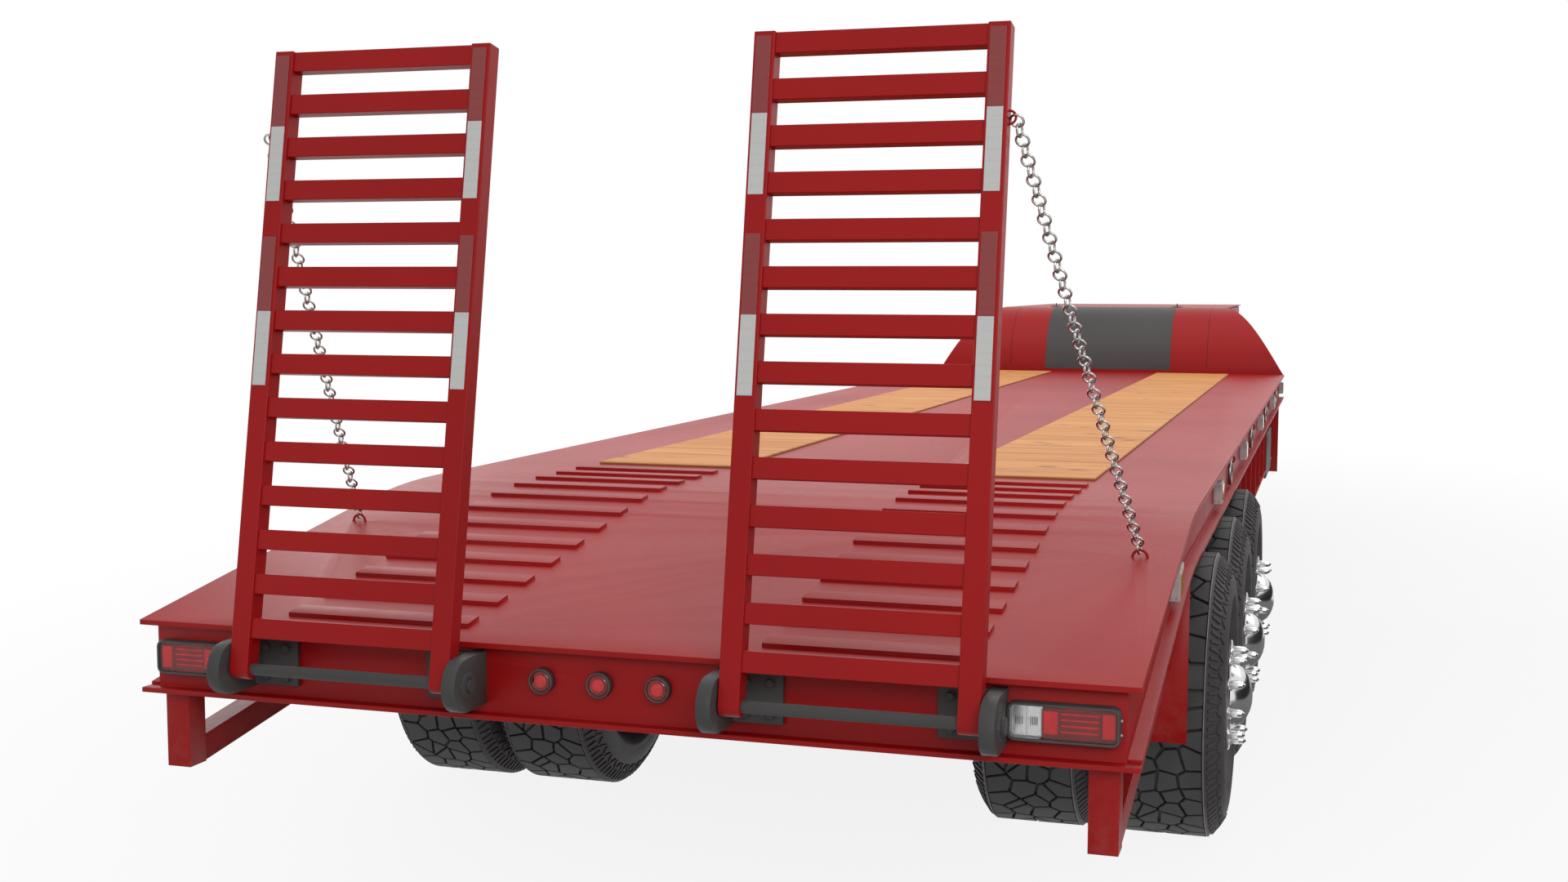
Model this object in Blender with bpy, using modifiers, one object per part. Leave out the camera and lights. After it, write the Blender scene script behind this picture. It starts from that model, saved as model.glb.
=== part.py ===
"""Flat-deck equipment semi-trailer with two ladder ramps held up by chains.

Metres, +Y forward, +X to the trailer's right, standing on z = 0. Lengths along the trailer are measured
forward from the deck's rear lip; the datum empty moves them so that the trailer's middle lies at y = 0.
"""

import math

import bmesh
import bpy
from mathutils import Matrix, Vector

NAME = "equipment_semi_trailer"

# Fits
CLEARANCE = 0.0003
FUSE = 0.002
FLAT_ANGLE = 0.002

# Deck
DECK_WIDTH = 2.55
DECK_LENGTH = 9.54
DECK_PLATE = 0.013
TAIL_LENGTH = 1.33
TAIL_DROP = 0.213
CREST_HALF = 0.24
CREST_STEPS = 6

# Traction bars across the tail
CLEAT_FIRST = 0.092
CLEAT_PITCH = 0.1635
CLEAT_LENGTH = 0.06
CLEAT_HEIGHT = 0.010

# Timber strips let into the deck
TIMBER_INSET = 0.382
TIMBER_WIDTH = 0.51
TIMBER_START = 2.10
TIMBER_END_GAP = 0.19
TIMBER_PROUD = 0.009
TIMBER_EDGE = 0.003

# Side rails and rear beam
RAIL_DEPTH = 0.172
RAIL_REAR_DEPTH = 0.190
RAIL_OVERHANG = 0.032
RAIL_WEB = 0.010
RAIL_FLANGE = 0.013
REAR_WEB_SETBACK = 0.030
REAR_FLANGE_WIDTH = 0.12

# Side lamps on the rails
SIDE_LAMP_COUNT = 6
SIDE_LAMP_FIRST = 0.95
SIDE_LAMP_END_GAP = 0.04
SIDE_LAMP_LENGTH = 0.10
SIDE_LAMP_HEIGHT = 0.076
SIDE_LAMP_TOP = 0.052
SIDE_LAMP_DEPTH = 0.028

# Lashing rings and the eyes that they hang from
RING_COUNT = 4
RING_FROM_LAMP = 0.845
RING_RADIUS = 0.050
RING_WIRE = 0.007
RING_TOP_DEPTH = 0.047
RING_EYE_WIRE = 0.005
RING_EYE_SLACK = 0.003
RING_EYE_GAP = 0.0008

# Lamps on the rear beam
REAR_LAMP_RADIUS = 0.0285
REAR_LAMP_DEPTH = 0.018
REAR_LAMP_PITCH = 0.15
REAR_LAMP_RISE = 0.090
TAIL_LAMP_WIDTH = 0.25
TAIL_LAMP_TALL = 0.088
TAIL_LAMP_DEPTH = 0.026
TAIL_LAMP_CORNER = 0.016
TAIL_LAMP_INSET = 0.045
TAIL_LAMP_RISE = 0.082

# Ramps
RAMP_INSET = 0.333
RAMP_WIDTH = 0.603
RAMP_LENGTH = 1.584
RAMP_LEAN = 9.86
STILE_WIDTH = 0.052
STILE_DEPTH = 0.050
RUNG_COUNT = 14
RUNG_FIRST = 0.127
RUNG_TOP_GAP = 0.027
RUNG_HEIGHT = 0.050
RUNG_DEPTH = 0.038
RAMP_EYE_HEIGHT = 1.37
RAMP_EYE_RADIUS = 0.0155
RAMP_EYE_WIRE = 0.003

# Ramp hinges
HINGE_REACH = 0.075
HINGE_RISE = 0.088
HINGE_ROD_RADIUS = 0.015
HINGE_ROD_HEAD = 0.021
HINGE_ROD_HEAD_LENGTH = 0.008
ROD_SIDES = 10
EAR_RADIUS = 0.065
EAR_THICKNESS = 0.035
EAR_GAP = 0.003
EAR_BOSS_RADIUS = 0.032
EAR_BOSS_HEIGHT = 0.006
HINGE_BASE_WIDTH = 0.125
HINGE_BASE_TALL = 0.12
HINGE_BASE_PLATE = 0.012

# Chains from the ramps to the deck
CHAIN_LINKS = 52
CHAIN_WIRE = 0.003
CHAIN_WELD = 0.0008
CHAIN_SAG = 0.012
CHAIN_EYE_INSET = 0.105
CHAIN_EYE_Y = 0.908
CHAIN_EYE_RADIUS = 0.020
CHAIN_EYE_WIRE = 0.004
CHAIN_HOOK_SLACK = 0.0016
CHAIN_LINK_GAP = 0.0007

# Rear stands
POST_SIZE = 0.068
POST_INSET = 0.006
POST_SETBACK = 0.035
POST_LENGTH = 0.199
BRACE_TALL = 0.070
BRACE_SLOPE = 0.145
MUD_PLATE_Y = 1.25
MUD_PLATE = 0.008
MUD_PLATE_WIDTH = 0.655
MUD_PLATE_DROP = 0.65

# Frame under the deck
BEAM_TYRE_GAP = 0.15
BEAM_WEB = 0.012
BEAM_FLANGE = 0.016
BEAM_FLANGE_WIDTH = 0.14
BEAM_AXLE_DEPTH = 0.36
BEAM_DEPTH = 0.49
BEAM_STEP_START = 4.15
BEAM_STEP_END = 4.55
BED_END_GAP = 0.04
CROSS_FIRST = 0.40
CROSS_PITCH = 0.70
CROSS_DEPTH = 0.12
CROSS_WIDTH = 0.05
RIB_FIRST = 4.55
RIB_PITCH = 0.52
RIB_PLATE = 0.010
SIDE_BEAM_INSET = 0.035
SIDE_BEAM_FLANGE = 0.075
SIDE_BEAM_PLATE = 0.012
FRONT_PLATE_Y = 8.50
FRONT_PLATE = 0.012
FRONT_PLATE_DROP = 0.60

# Neck and coupler
NECK_RISE = 0.475
NECK_FRONT = 12.2
NECK_BASE_INSET = 0.009
NECK_TAPER = 0.451
NECK_COVER = 0.008
NECK_ARC_STEPS = 8
NECK_PLATE = 0.012
NECK_SLOPE_RUN = 0.40
NECK_RIB_PITCH = 0.62
NECK_DEPTH = 0.259
COUPLER_PLATE = 0.012
COUPLER_START = 10.40
COUPLER_INSET = 0.215
COUPLER_LEAD = 0.25
COUPLER_LEAD_RISE = 0.02
KING_PIN_Y = 11.30
KING_PIN_SHANK = 0.0254
KING_PIN_COLLAR = 0.0365
KING_PIN_LENGTH = 0.084
KING_PIN_SIDES = 12

# Wheels
AXLE_FIRST = 1.79
TYRE_GAP = 0.00276
TYRE_RADIUS = 0.44
WHEEL_ROOM = 0.18
TYRE_SECTION = 0.375
TYRE_TREAD = 0.265
TYRE_INSET = 0.0935
TYRE_BULGE = 0.45
DUAL_SPACING = 0.384
RIM_RADIUS = 0.247
RIM_WIDTH = 0.22
WHEEL_SIDES = 16
HUB_PLATE_REACH = 0.1845
HUB_PLATE_RADIUS = 0.171
HUB_PLATE_EDGE = 0.02
DOME_RADIUS = 0.105
DOME_HEIGHT = 0.065
DOME_SHOULDER = 0.6
DOME_SHOULDER_HEIGHT = 0.8
DRUM_RADIUS = 0.205
DRUM_BACK = 0.0725

# Axles and springs
AXLE_RADIUS = 0.062
SPINDLE_RADIUS = 0.045
SPINDLE_SLACK = 0.0005
SPINDLE_PAST = 0.0185
AXLE_SIDES = 8
SPRING_WIDTH = 0.08
SPRING_END_GAP = 0.04
SPRING_RISE = 0.055
SPRING_SEAT = 0.028
SPRING_SEAT_LENGTH = 0.12
LEAF = 0.014
LEAF_COUNT = 3
LEAF_STEP = 3.5
HANGER_WIDTH = 0.11
HANGER_WALL = 0.008
HANGER_LENGTH = 0.22
HANGER_DROP = 0.045

# Landing legs
LEG_INSET = 0.415
LEG_Y = 8.95
LEG_SIZE = 0.14
LEG_WALL = 0.010
LEG_SLACK = 0.0005
LEG_HOUSING_DROP = 0.58
LEG_OVERLAP = 0.145
LEG_BRACKET = 0.012
FOOT_SIZE = 0.28
FOOT_WIDTH = 0.224
FOOT_PLATE = 0.02
FOOT_NECK = 0.05
GEARBOX_SIZE = 0.11
GEARBOX_DEPTH = 0.05
CRANK_DROP = 0.36
CRANK_WIRE = 0.011
CRANK_SHAFT = 0.16
CRANK_ARM = 0.17
CRANK_GRIP = 0.11
CRANK_ENTRY = 0.04

# Toolbox under the right rail
TOOLBOX_START = 7.494
TOOLBOX_LENGTH = 0.706
TOOLBOX_DROP = 0.275
TOOLBOX_TALL = 0.268
TOOLBOX_INSET = 0.034
TOOLBOX_REACH = 0.44
TOOLBOX_WALL = 0.006
TOOLBOX_DOOR = 0.020

# Colours as (red, green, blue), roughness, metallic
FINISHES = {
    "red_paint": ((0.33, 0.027, 0.030), 0.45, 0.0),
    "grey_paint": ((0.078, 0.072, 0.070), 0.55, 0.0),
    "steel": ((0.55, 0.54, 0.53), 0.30, 1.0),
    "chrome": ((0.80, 0.80, 0.80), 0.12, 1.0),
    "rubber": ((0.028, 0.027, 0.027), 0.80, 0.0),
    "timber": ((0.69, 0.31, 0.08), 0.65, 0.0),
    "lamp": ((0.30, 0.012, 0.012), 0.25, 0.0),
}

# Places that follow from the sizes above
DECK_HALF = DECK_WIDTH / 2
DECK_HEIGHT = TYRE_RADIUS * 2 + WHEEL_ROOM
SIDE_LAMP_LAST = DECK_LENGTH - SIDE_LAMP_END_GAP - SIDE_LAMP_LENGTH
SIDE_LAMP_PITCH = (SIDE_LAMP_LAST - SIDE_LAMP_FIRST) / (SIDE_LAMP_COUNT - 1)
RING_FIRST = SIDE_LAMP_FIRST + SIDE_LAMP_PITCH + RING_FROM_LAMP
RING_PITCH = SIDE_LAMP_PITCH
TIMBER_INNER = DECK_HALF - TIMBER_INSET - TIMBER_WIDTH
RAMP_INNER = DECK_HALF - RAMP_INSET - RAMP_WIDTH
WEB_OUTER = DECK_HALF - RAIL_OVERHANG
WEB_INNER = WEB_OUTER - RAIL_WEB
REAR_WEB_FRONT = REAR_WEB_SETBACK + RAIL_WEB
REAR_FLANGE_BOTTOM = DECK_HEIGHT - TAIL_DROP - RAIL_REAR_DEPTH
REAR_FLANGE_TOP = REAR_FLANGE_BOTTOM + RAIL_FLANGE
RUNG_PITCH = (RAMP_LENGTH - RUNG_FIRST - RUNG_TOP_GAP) / (RUNG_COUNT - 1)
REAR_LAMP_HEIGHT = REAR_FLANGE_TOP + REAR_LAMP_RISE
TAIL_LAMP_HEIGHT = REAR_FLANGE_TOP + TAIL_LAMP_RISE
TAIL_LAMP_INNER = DECK_HALF - TAIL_LAMP_INSET - TAIL_LAMP_WIDTH
HINGE_HEIGHT = REAR_FLANGE_TOP + HINGE_RISE
CHAIN_EYE_X = DECK_HALF - CHAIN_EYE_INSET
POST_FOOT = REAR_FLANGE_BOTTOM - POST_LENGTH
MUD_PLATE_INNER = DECK_HALF - MUD_PLATE_WIDTH
MUD_PLATE_FOOT = DECK_HEIGHT - MUD_PLATE_DROP
OUTER_TYRE_X = DECK_HALF - TYRE_INSET
HUB_PLATE_X = OUTER_TYRE_X + HUB_PLATE_REACH
DOME_TIP_X = HUB_PLATE_X + DOME_HEIGHT
DRUM_INNER_X = OUTER_TYRE_X - DUAL_SPACING - RIM_WIDTH / 2 - DRUM_BACK
SPINDLE_END = OUTER_TYRE_X + SPINDLE_PAST
AXLE_PITCH = TYRE_RADIUS * 2 / math.cos(math.pi / WHEEL_SIDES) + TYRE_GAP
SPRING_HALF = AXLE_PITCH / 2 - SPRING_END_GAP
BEAM_X = OUTER_TYRE_X - DUAL_SPACING - TYRE_SECTION / 2 - BEAM_TYRE_GAP
SIDE_BEAM_X = DECK_HALF - SIDE_BEAM_INSET
FRONT_PLATE_FOOT = DECK_HEIGHT - FRONT_PLATE_DROP
NECK_BASE_HALF = DECK_HALF - NECK_BASE_INSET
NECK_HALF = NECK_BASE_HALF - NECK_TAPER
COUPLER_HALF = NECK_HALF - COUPLER_INSET
COUPLER_HEIGHT = DECK_HEIGHT + NECK_RISE - NECK_DEPTH
LEG_X = DECK_HALF - LEG_INSET
LEG_HOUSING_FOOT = DECK_HEIGHT - LEG_HOUSING_DROP
LEG_TOP = LEG_HOUSING_FOOT + LEG_OVERLAP
CRANK_HEIGHT = DECK_HEIGHT - CRANK_DROP
TOOLBOX_TOP = DECK_HEIGHT - TOOLBOX_DROP
TOOLBOX_OUTER = DECK_HALF - TOOLBOX_INSET
TIMBER_END = DECK_LENGTH - TIMBER_END_GAP
BED_END = DECK_LENGTH - BED_END_GAP
HINGE_AXIS = Vector((0, -HINGE_REACH, HINGE_HEIGHT))
REAR_END = HINGE_REACH + EAR_RADIUS
MIDDLE = (NECK_FRONT - REAR_END) / 2
DECK_SEAT = DECK_PLATE + CLEARANCE
BEAM_SEAT = DECK_SEAT + FUSE
SPRING_TOP = TYRE_RADIUS + AXLE_RADIUS + SPRING_SEAT + LEAF * LEAF_COUNT
SPRING_END_TOP = SPRING_TOP + SPRING_RISE
COUPLER_TOP = COUPLER_HEIGHT + COUPLER_PLATE
NECK_CENTRE_Y = DECK_LENGTH + CLEARANCE + NECK_RISE
TOOLBOX_END = TOOLBOX_START + TOOLBOX_LENGTH


def clear_scene():
    for obj in list(bpy.data.objects):
        bpy.data.objects.remove(obj, do_unlink=True)


def make_collection(name):
    collection = bpy.data.collections.new(name)
    bpy.context.scene.collection.children.link(collection)
    return collection


def make_material(name):
    colour, roughness, metallic = FINISHES[name]
    material = bpy.data.materials.new(name)
    material.use_nodes = True
    shader = material.node_tree.nodes["Principled BSDF"]
    shader.inputs["Base Color"].default_value = (*colour, 1.0)
    shader.inputs["Roughness"].default_value = roughness
    shader.inputs["Metallic"].default_value = metallic
    material.diffuse_color = (*colour, 1.0)
    return material


clear_scene()
PARTS = make_collection(NAME)
CUTTERS = make_collection("cutters")
CUTTERS.hide_render = True
MATERIALS = {name: make_material(name) for name in FINISHES}
DATUM = bpy.data.objects.new("datum", None)
DATUM.location = (0, -MIDDLE, 0)
PARTS.objects.link(DATUM)


def add_object(data):
    obj = bpy.data.objects.new(data.name, data)
    CUTTERS.objects.link(obj)
    return obj


def bake(obj):
    """The object as a plain mesh with its modifiers and placing applied and its flat faces merged."""
    bpy.context.view_layer.update()
    graph = bpy.context.evaluated_depsgraph_get()
    mesh = bpy.data.meshes.new_from_object(obj.evaluated_get(graph))
    mesh.transform(obj.matrix_world)
    shape = bmesh.new()
    shape.from_mesh(mesh)
    bmesh.ops.remove_doubles(shape, verts=shape.verts, dist=0.00001)
    bmesh.ops.dissolve_limit(shape, angle_limit=FLAT_ANGLE, verts=shape.verts, edges=shape.edges)
    shape.to_mesh(mesh)
    shape.free()
    bpy.data.objects.remove(obj, do_unlink=True)
    return add_object(mesh)


def box(low, high):
    low = Vector(low)
    high = Vector(high)
    shape = bmesh.new()
    bmesh.ops.create_cube(shape, size=1)
    bmesh.ops.scale(shape, verts=shape.verts, vec=high - low)
    bmesh.ops.translate(shape, verts=shape.verts, vec=(low + high) / 2)
    mesh = bpy.data.meshes.new("box")
    shape.to_mesh(mesh)
    shape.free()
    return add_object(mesh)


PLANES = {
    "X": Matrix(((0, 0, 1), (1, 0, 0), (0, 1, 0))),
    "Y": Matrix(((1, 0, 0), (0, 0, -1), (0, 1, 0))),
    "Z": Matrix.Identity(3),
}


def outline(loops, low, high, axis="X"):
    """A flat outline, with any holes as further loops, thickened along an axis from low to high."""
    curve = bpy.data.curves.new("outline", "CURVE")
    curve.dimensions = "2D"
    curve.fill_mode = "BOTH"
    curve.extrude = (high - low) / 2
    for loop in loops:
        spline = curve.splines.new("POLY")
        spline.points.add(len(loop) - 1)
        spline.use_cyclic_u = True
        for point, (across, up) in zip(spline.points, loop):
            point.co = (across, up, 0, 1)
    obj = add_object(curve)
    middle = Vector([(low + high) / 2 if letter == axis else 0 for letter in "XYZ"])
    obj.matrix_world = Matrix.Translation(middle) @ PLANES[axis].to_4x4()
    return bake(obj)


def tube(points, radius, cyclic=False, resolution=1):
    curve = bpy.data.curves.new("tube", "CURVE")
    curve.dimensions = "3D"
    curve.bevel_depth = radius
    curve.bevel_resolution = resolution
    curve.use_fill_caps = not cyclic
    spline = curve.splines.new("POLY")
    spline.points.add(len(points) - 1)
    spline.use_cyclic_u = cyclic
    for point, place in zip(spline.points, points):
        point.co = (*place, 1)
    return bake(add_object(curve))


def turned(profile, steps, closed=False):
    """A profile of (radius, height) turned about Z, listed down its outer side."""
    mesh = bpy.data.meshes.new("turned")
    edges = [(i, i + 1) for i in range(len(profile) - 1)]
    if closed:
        edges.append((len(profile) - 1, 0))
    mesh.from_pydata([(radius, 0, height) for radius, height in profile], edges, [])
    obj = add_object(mesh)
    screw = obj.modifiers.new("Screw", "SCREW")
    screw.axis = "Z"
    screw.steps = steps
    screw.render_steps = steps
    screw.use_merge_vertices = True
    screw.merge_threshold = 0.0001
    return bake(obj)


def moved(obj, matrix):
    obj.data.transform(matrix)
    return obj


def along_x(obj):
    """Lay a turned piece along X, its top towards +X."""
    return moved(obj, Matrix.Rotation(math.pi / 2, 4, "Y"))


def combine(obj, others, operation):
    group = bpy.data.collections.new("operands")
    for other in others:
        group.objects.link(other)
    boolean = obj.modifiers.new("Boolean", "BOOLEAN")
    boolean.operation = operation
    boolean.operand_type = "COLLECTION"
    boolean.collection = group
    boolean.solver = "EXACT"
    result = bake(obj)
    for other in others:
        bpy.data.objects.remove(other, do_unlink=True)
    bpy.data.collections.remove(group)
    return result


def weld(pieces):
    return combine(pieces[0], pieces[1:], "UNION")


def cut(obj, cutters):
    return combine(obj, cutters, "DIFFERENCE")


def copied(obj):
    return add_object(obj.data.copy())


def mirrored(obj):
    twin = copied(obj)
    twin.data.transform(Matrix.Scale(-1, 4, (1, 0, 0)))
    twin.data.flip_normals()
    return twin


def smooth(obj, angle=40):
    obj.data.shade_smooth()
    obj.data.set_sharp_from_angle(angle=math.radians(angle))
    return obj


def soften(obj, width):
    """Break the edges of a piece with a small bevel."""
    bevel = obj.modifiers.new("Bevel", "BEVEL")
    bevel.width = width
    bevel.segments = 1
    return obj


def part(obj, name, finish, pivot=(0, 0, 0), turn=None):
    """Hand a finished shape in as a named piece whose origin lies at pivot."""
    pivot = Vector(pivot)
    obj.data.transform(Matrix.Translation(-pivot))
    if turn:
        obj.data.transform(turn.inverted())
        obj.rotation_euler = turn.to_euler()
    obj.name = name
    obj.data.name = name
    obj.location = pivot
    obj.parent = DATUM
    obj.data.materials.clear()
    obj.data.materials.append(MATERIALS[finish])
    CUTTERS.objects.unlink(obj)
    PARTS.objects.link(obj)
    return obj


def pair(obj, name, finish, pivot=(0, 0, 0), turn=None):
    """Hand in a right-hand piece and its mirror image on the left."""
    left = (-pivot[0], pivot[1], pivot[2])
    part(mirrored(obj), name.format("left"), finish, left, turn)
    part(obj, name.format("right"), finish, pivot, turn)


def level(y, rear_depth=0.0, depth=0.0):
    """Height at y of a line rear_depth below the rear lip and depth below the flat deck."""
    flat = DECK_HEIGHT - depth
    slope = (TAIL_DROP + rear_depth - depth) / TAIL_LENGTH
    crest_end = TAIL_LENGTH + CREST_HALF
    if y >= crest_end:
        return flat
    if y <= TAIL_LENGTH - CREST_HALF:
        return flat - slope * (TAIL_LENGTH - y)
    return flat - slope * (crest_end - y) ** 2 / (4 * CREST_HALF)


def stations(start, end):
    """Places along the trailer where a line that follows the deck needs a point."""
    first = TAIL_LENGTH - CREST_HALF
    crest = [first + 2 * CREST_HALF * i / CREST_STEPS for i in range(CREST_STEPS + 1)]
    return [start] + [y for y in crest if start + FUSE < y < end - FUSE] + [end]


def line(start, end, depths):
    return [(y, level(y, *depths)) for y in stations(start, end)]


def band(start, end, top, bottom):
    """Side outline between two lines, each given as its depths at the lip and on the flat."""
    return line(start, end, top) + line(start, end, bottom)[::-1]


def arc(centre, radius, start, end, steps):
    angles = [math.radians(start + (end - start) * i / steps) for i in range(steps + 1)]
    return [(centre[0] + radius * math.cos(a), centre[1] + radius * math.sin(a)) for a in angles]


def rectangle(left, bottom, right, top):
    return [(left, bottom), (right, bottom), (right, top), (left, top)]


def rounded(centre, width, tall, radius, steps=3):
    corners = [(1, 1, 0), (-1, 1, 90), (-1, -1, 180), (1, -1, 270)]
    points = []
    for side, up, angle in corners:
        middle = (centre[0] + side * (width / 2 - radius), centre[1] + up * (tall / 2 - radius))
        points += arc(middle, radius, angle, angle + 90, steps)
    return points


def timber():
    low = (TIMBER_INNER, TIMBER_START, DECK_HEIGHT - DECK_PLATE)
    high = (TIMBER_INNER + TIMBER_WIDTH, TIMBER_END, DECK_HEIGHT + TIMBER_PROUD)
    return low, high


def row_starts(first, pitch, length, end):
    """Starts of a row of pieces of one length, at a pitch from first, that all stop short of end."""
    count = int((end - first - length) / pitch) + 1
    return [first + pitch * i for i in range(count)]


def deck_plate():
    plate = outline([band(0, DECK_LENGTH, (0, 0), (DECK_PLATE, DECK_PLATE))], -DECK_HALF, DECK_HALF)
    low, high = timber()
    room = Vector((CLEARANCE, CLEARANCE, DECK_PLATE))
    slot = box(Vector(low) - room, Vector(high) + room)
    plate = cut(plate, [slot, mirrored(slot)])
    added = []
    for start in row_starts(CLEAT_FIRST, CLEAT_PITCH, CLEAT_LENGTH, TIMBER_START):
        side = [band(start, start + CLEAT_LENGTH, (-CLEAT_HEIGHT, -CLEAT_HEIGHT), (FUSE, FUSE))]
        cleat = outline(side, TIMBER_INNER, TIMBER_INNER + TIMBER_WIDTH)
        added += [cleat, mirrored(cleat)]
    foot = level(CHAIN_EYE_Y)
    arch = arc((CHAIN_EYE_X, foot), CHAIN_EYE_RADIUS, 0, 180, 6)
    legs = [(arch[0][0], foot - DECK_PLATE / 2), *arch, (arch[-1][0], foot - DECK_PLATE / 2)]
    eye = tube([(x, CHAIN_EYE_Y, z) for x, z in legs], CHAIN_EYE_WIRE)
    part(weld([plate, *added, eye, mirrored(eye)]), "deck_plate", "red_paint")
    strip = soften(box(low, high), TIMBER_EDGE)
    left = soften(mirrored(strip), TIMBER_EDGE)
    part(left, "timber_left", "timber")
    part(strip, "timber_right", "timber")


def ring_top(y):
    """Centre of a lashing ring's upper wire, where it lies in its eye."""
    return Vector((WEB_OUTER + RING_WIRE + RING_EYE_SLACK, y, level(y) - RING_TOP_DEPTH))


def ring_places():
    return [RING_FIRST + RING_PITCH * i for i in range(RING_COUNT)]


def side_rail():
    start = REAR_WEB_FRONT + CLEARANCE
    bottom = (RAIL_REAR_DEPTH, RAIL_DEPTH)
    middle = (RAIL_REAR_DEPTH - RAIL_FLANGE / 2, RAIL_DEPTH - RAIL_FLANGE / 2)
    ledge = (RAIL_REAR_DEPTH - RAIL_FLANGE, RAIL_DEPTH - RAIL_FLANGE)
    web = outline([band(start, DECK_LENGTH, (DECK_SEAT, DECK_SEAT), middle)], WEB_INNER, WEB_OUTER)
    flange = outline([band(start, DECK_LENGTH, ledge, bottom)], WEB_INNER + FUSE, DECK_HALF)
    pieces = [web, flange]
    for i in range(SIDE_LAMP_COUNT):
        y = SIDE_LAMP_FIRST + SIDE_LAMP_PITCH * i
        low = SIDE_LAMP_TOP + SIDE_LAMP_HEIGHT
        side = [band(y, y + SIDE_LAMP_LENGTH, (SIDE_LAMP_TOP, SIDE_LAMP_TOP), (low, low))]
        pieces.append(outline(side, WEB_OUTER - FUSE, WEB_OUTER + SIDE_LAMP_DEPTH))
    reach = RING_WIRE * 2 + RING_EYE_SLACK * 2 + RING_EYE_WIRE
    for y in ring_places():
        top = ring_top(y)
        half = RING_WIRE + RING_EYE_SLACK + RING_EYE_WIRE
        height = top.z + RING_EYE_SLACK - RING_EYE_GAP
        bend = arc((WEB_OUTER + reach - half, height), half, -90, 90, 4)
        route = [(WEB_OUTER - RAIL_WEB / 2, height - half), *bend, (WEB_OUTER - RAIL_WEB / 2, height + half)]
        pieces.append(tube([(x, y, z) for x, z in route], RING_EYE_WIRE, resolution=0))
    pair(weld(pieces), "side_rail_{}", "red_paint")


def lashing_rings():
    for number, y in enumerate(ring_places(), 1):
        top = ring_top(y)
        circle = arc((y, top.z - RING_RADIUS), RING_RADIUS, 18, 342, 9)
        ring = smooth(tube([(top.x, a, b) for a, b in circle], RING_WIRE, cyclic=True, resolution=0))
        pair(ring, "lashing_ring_{}_" + str(number), "grey_paint", pivot=top)


def rear_beam():
    web_top = level(REAR_WEB_SETBACK) - DECK_SEAT
    lip = box((-DECK_HALF, 0, REAR_FLANGE_BOTTOM), (DECK_HALF, REAR_WEB_FRONT, REAR_FLANGE_TOP))
    ledge_half = WEB_INNER - CLEARANCE
    ledge = box(
        (-ledge_half, REAR_WEB_SETBACK, REAR_FLANGE_BOTTOM),
        (ledge_half, REAR_FLANGE_WIDTH, REAR_FLANGE_TOP),
    )
    web = box(
        (-WEB_OUTER, REAR_WEB_SETBACK, REAR_FLANGE_TOP - FUSE),
        (WEB_OUTER, REAR_WEB_FRONT, web_top),
    )
    lamps = []
    for i in (-1, 0, 1):
        lamp = outline(
            [arc((REAR_LAMP_PITCH * i, REAR_LAMP_HEIGHT), REAR_LAMP_RADIUS, 0, 337.5, 15)],
            REAR_WEB_SETBACK - REAR_LAMP_DEPTH,
            REAR_WEB_SETBACK + FUSE,
            "Y",
        )
        lamps.append(lamp)
    part(weld([web, lip, ledge, *lamps]), "rear_beam", "red_paint")


def tail_lamps():
    centre = (TAIL_LAMP_INNER + TAIL_LAMP_WIDTH / 2, TAIL_LAMP_HEIGHT)
    back = REAR_WEB_SETBACK - CLEARANCE
    shape = [rounded(centre, TAIL_LAMP_WIDTH, TAIL_LAMP_TALL, TAIL_LAMP_CORNER)]
    pair(outline(shape, back - TAIL_LAMP_DEPTH, back, "Y"), "tail_lamp_{}", "lamp")


def hole_round(radius):
    """Radius of a many-sided hole whose flats clear a rod of this radius all round."""
    return (radius + CLEARANCE) / math.cos(math.pi / ROD_SIDES)


def around(centre, radius):
    return arc(centre, radius, 0, 360 - 360 / ROD_SIDES, ROD_SIDES - 1)


def ears():
    """The inner and outer ear of a right-hand hinge as (start, end, direction of its boss)."""
    inner = RAMP_INNER - EAR_GAP
    outer = RAMP_INNER + RAMP_WIDTH + EAR_GAP
    return {"inner": (inner - EAR_THICKNESS, inner, -1), "outer": (outer, outer + EAR_THICKNESS, 1)}


def hinge_brackets():
    axis = (HINGE_AXIS.y, HINGE_AXIS.z)
    seat = REAR_WEB_SETBACK - CLEARANCE
    for place, (low, high, side) in ears().items():
        back = arc(axis, EAR_RADIUS, 90, 270, 10)
        shape = [(seat, axis[1] + EAR_RADIUS), *back, (seat, axis[1] - EAR_RADIUS)]
        bore = around(axis, hole_round(HINGE_ROD_RADIUS))
        ear = outline([shape, bore], low, high)
        rim = high if side > 0 else low
        boss_low = min(rim - side * FUSE, rim + side * EAR_BOSS_HEIGHT)
        boss_high = max(rim - side * FUSE, rim + side * EAR_BOSS_HEIGHT)
        boss = outline([around(axis, EAR_BOSS_RADIUS), bore], boss_low, boss_high)
        foot_start = high - FUSE if side < 0 else low + FUSE - HINGE_BASE_WIDTH
        half = HINGE_BASE_TALL / 2
        base = box(
            (foot_start, seat - HINGE_BASE_PLATE, axis[1] - half),
            (foot_start + HINGE_BASE_WIDTH, seat, axis[1] + half),
        )
        pair(weld([ear, base, boss]), "hinge_bracket_{}_" + place, "grey_paint")


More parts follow.
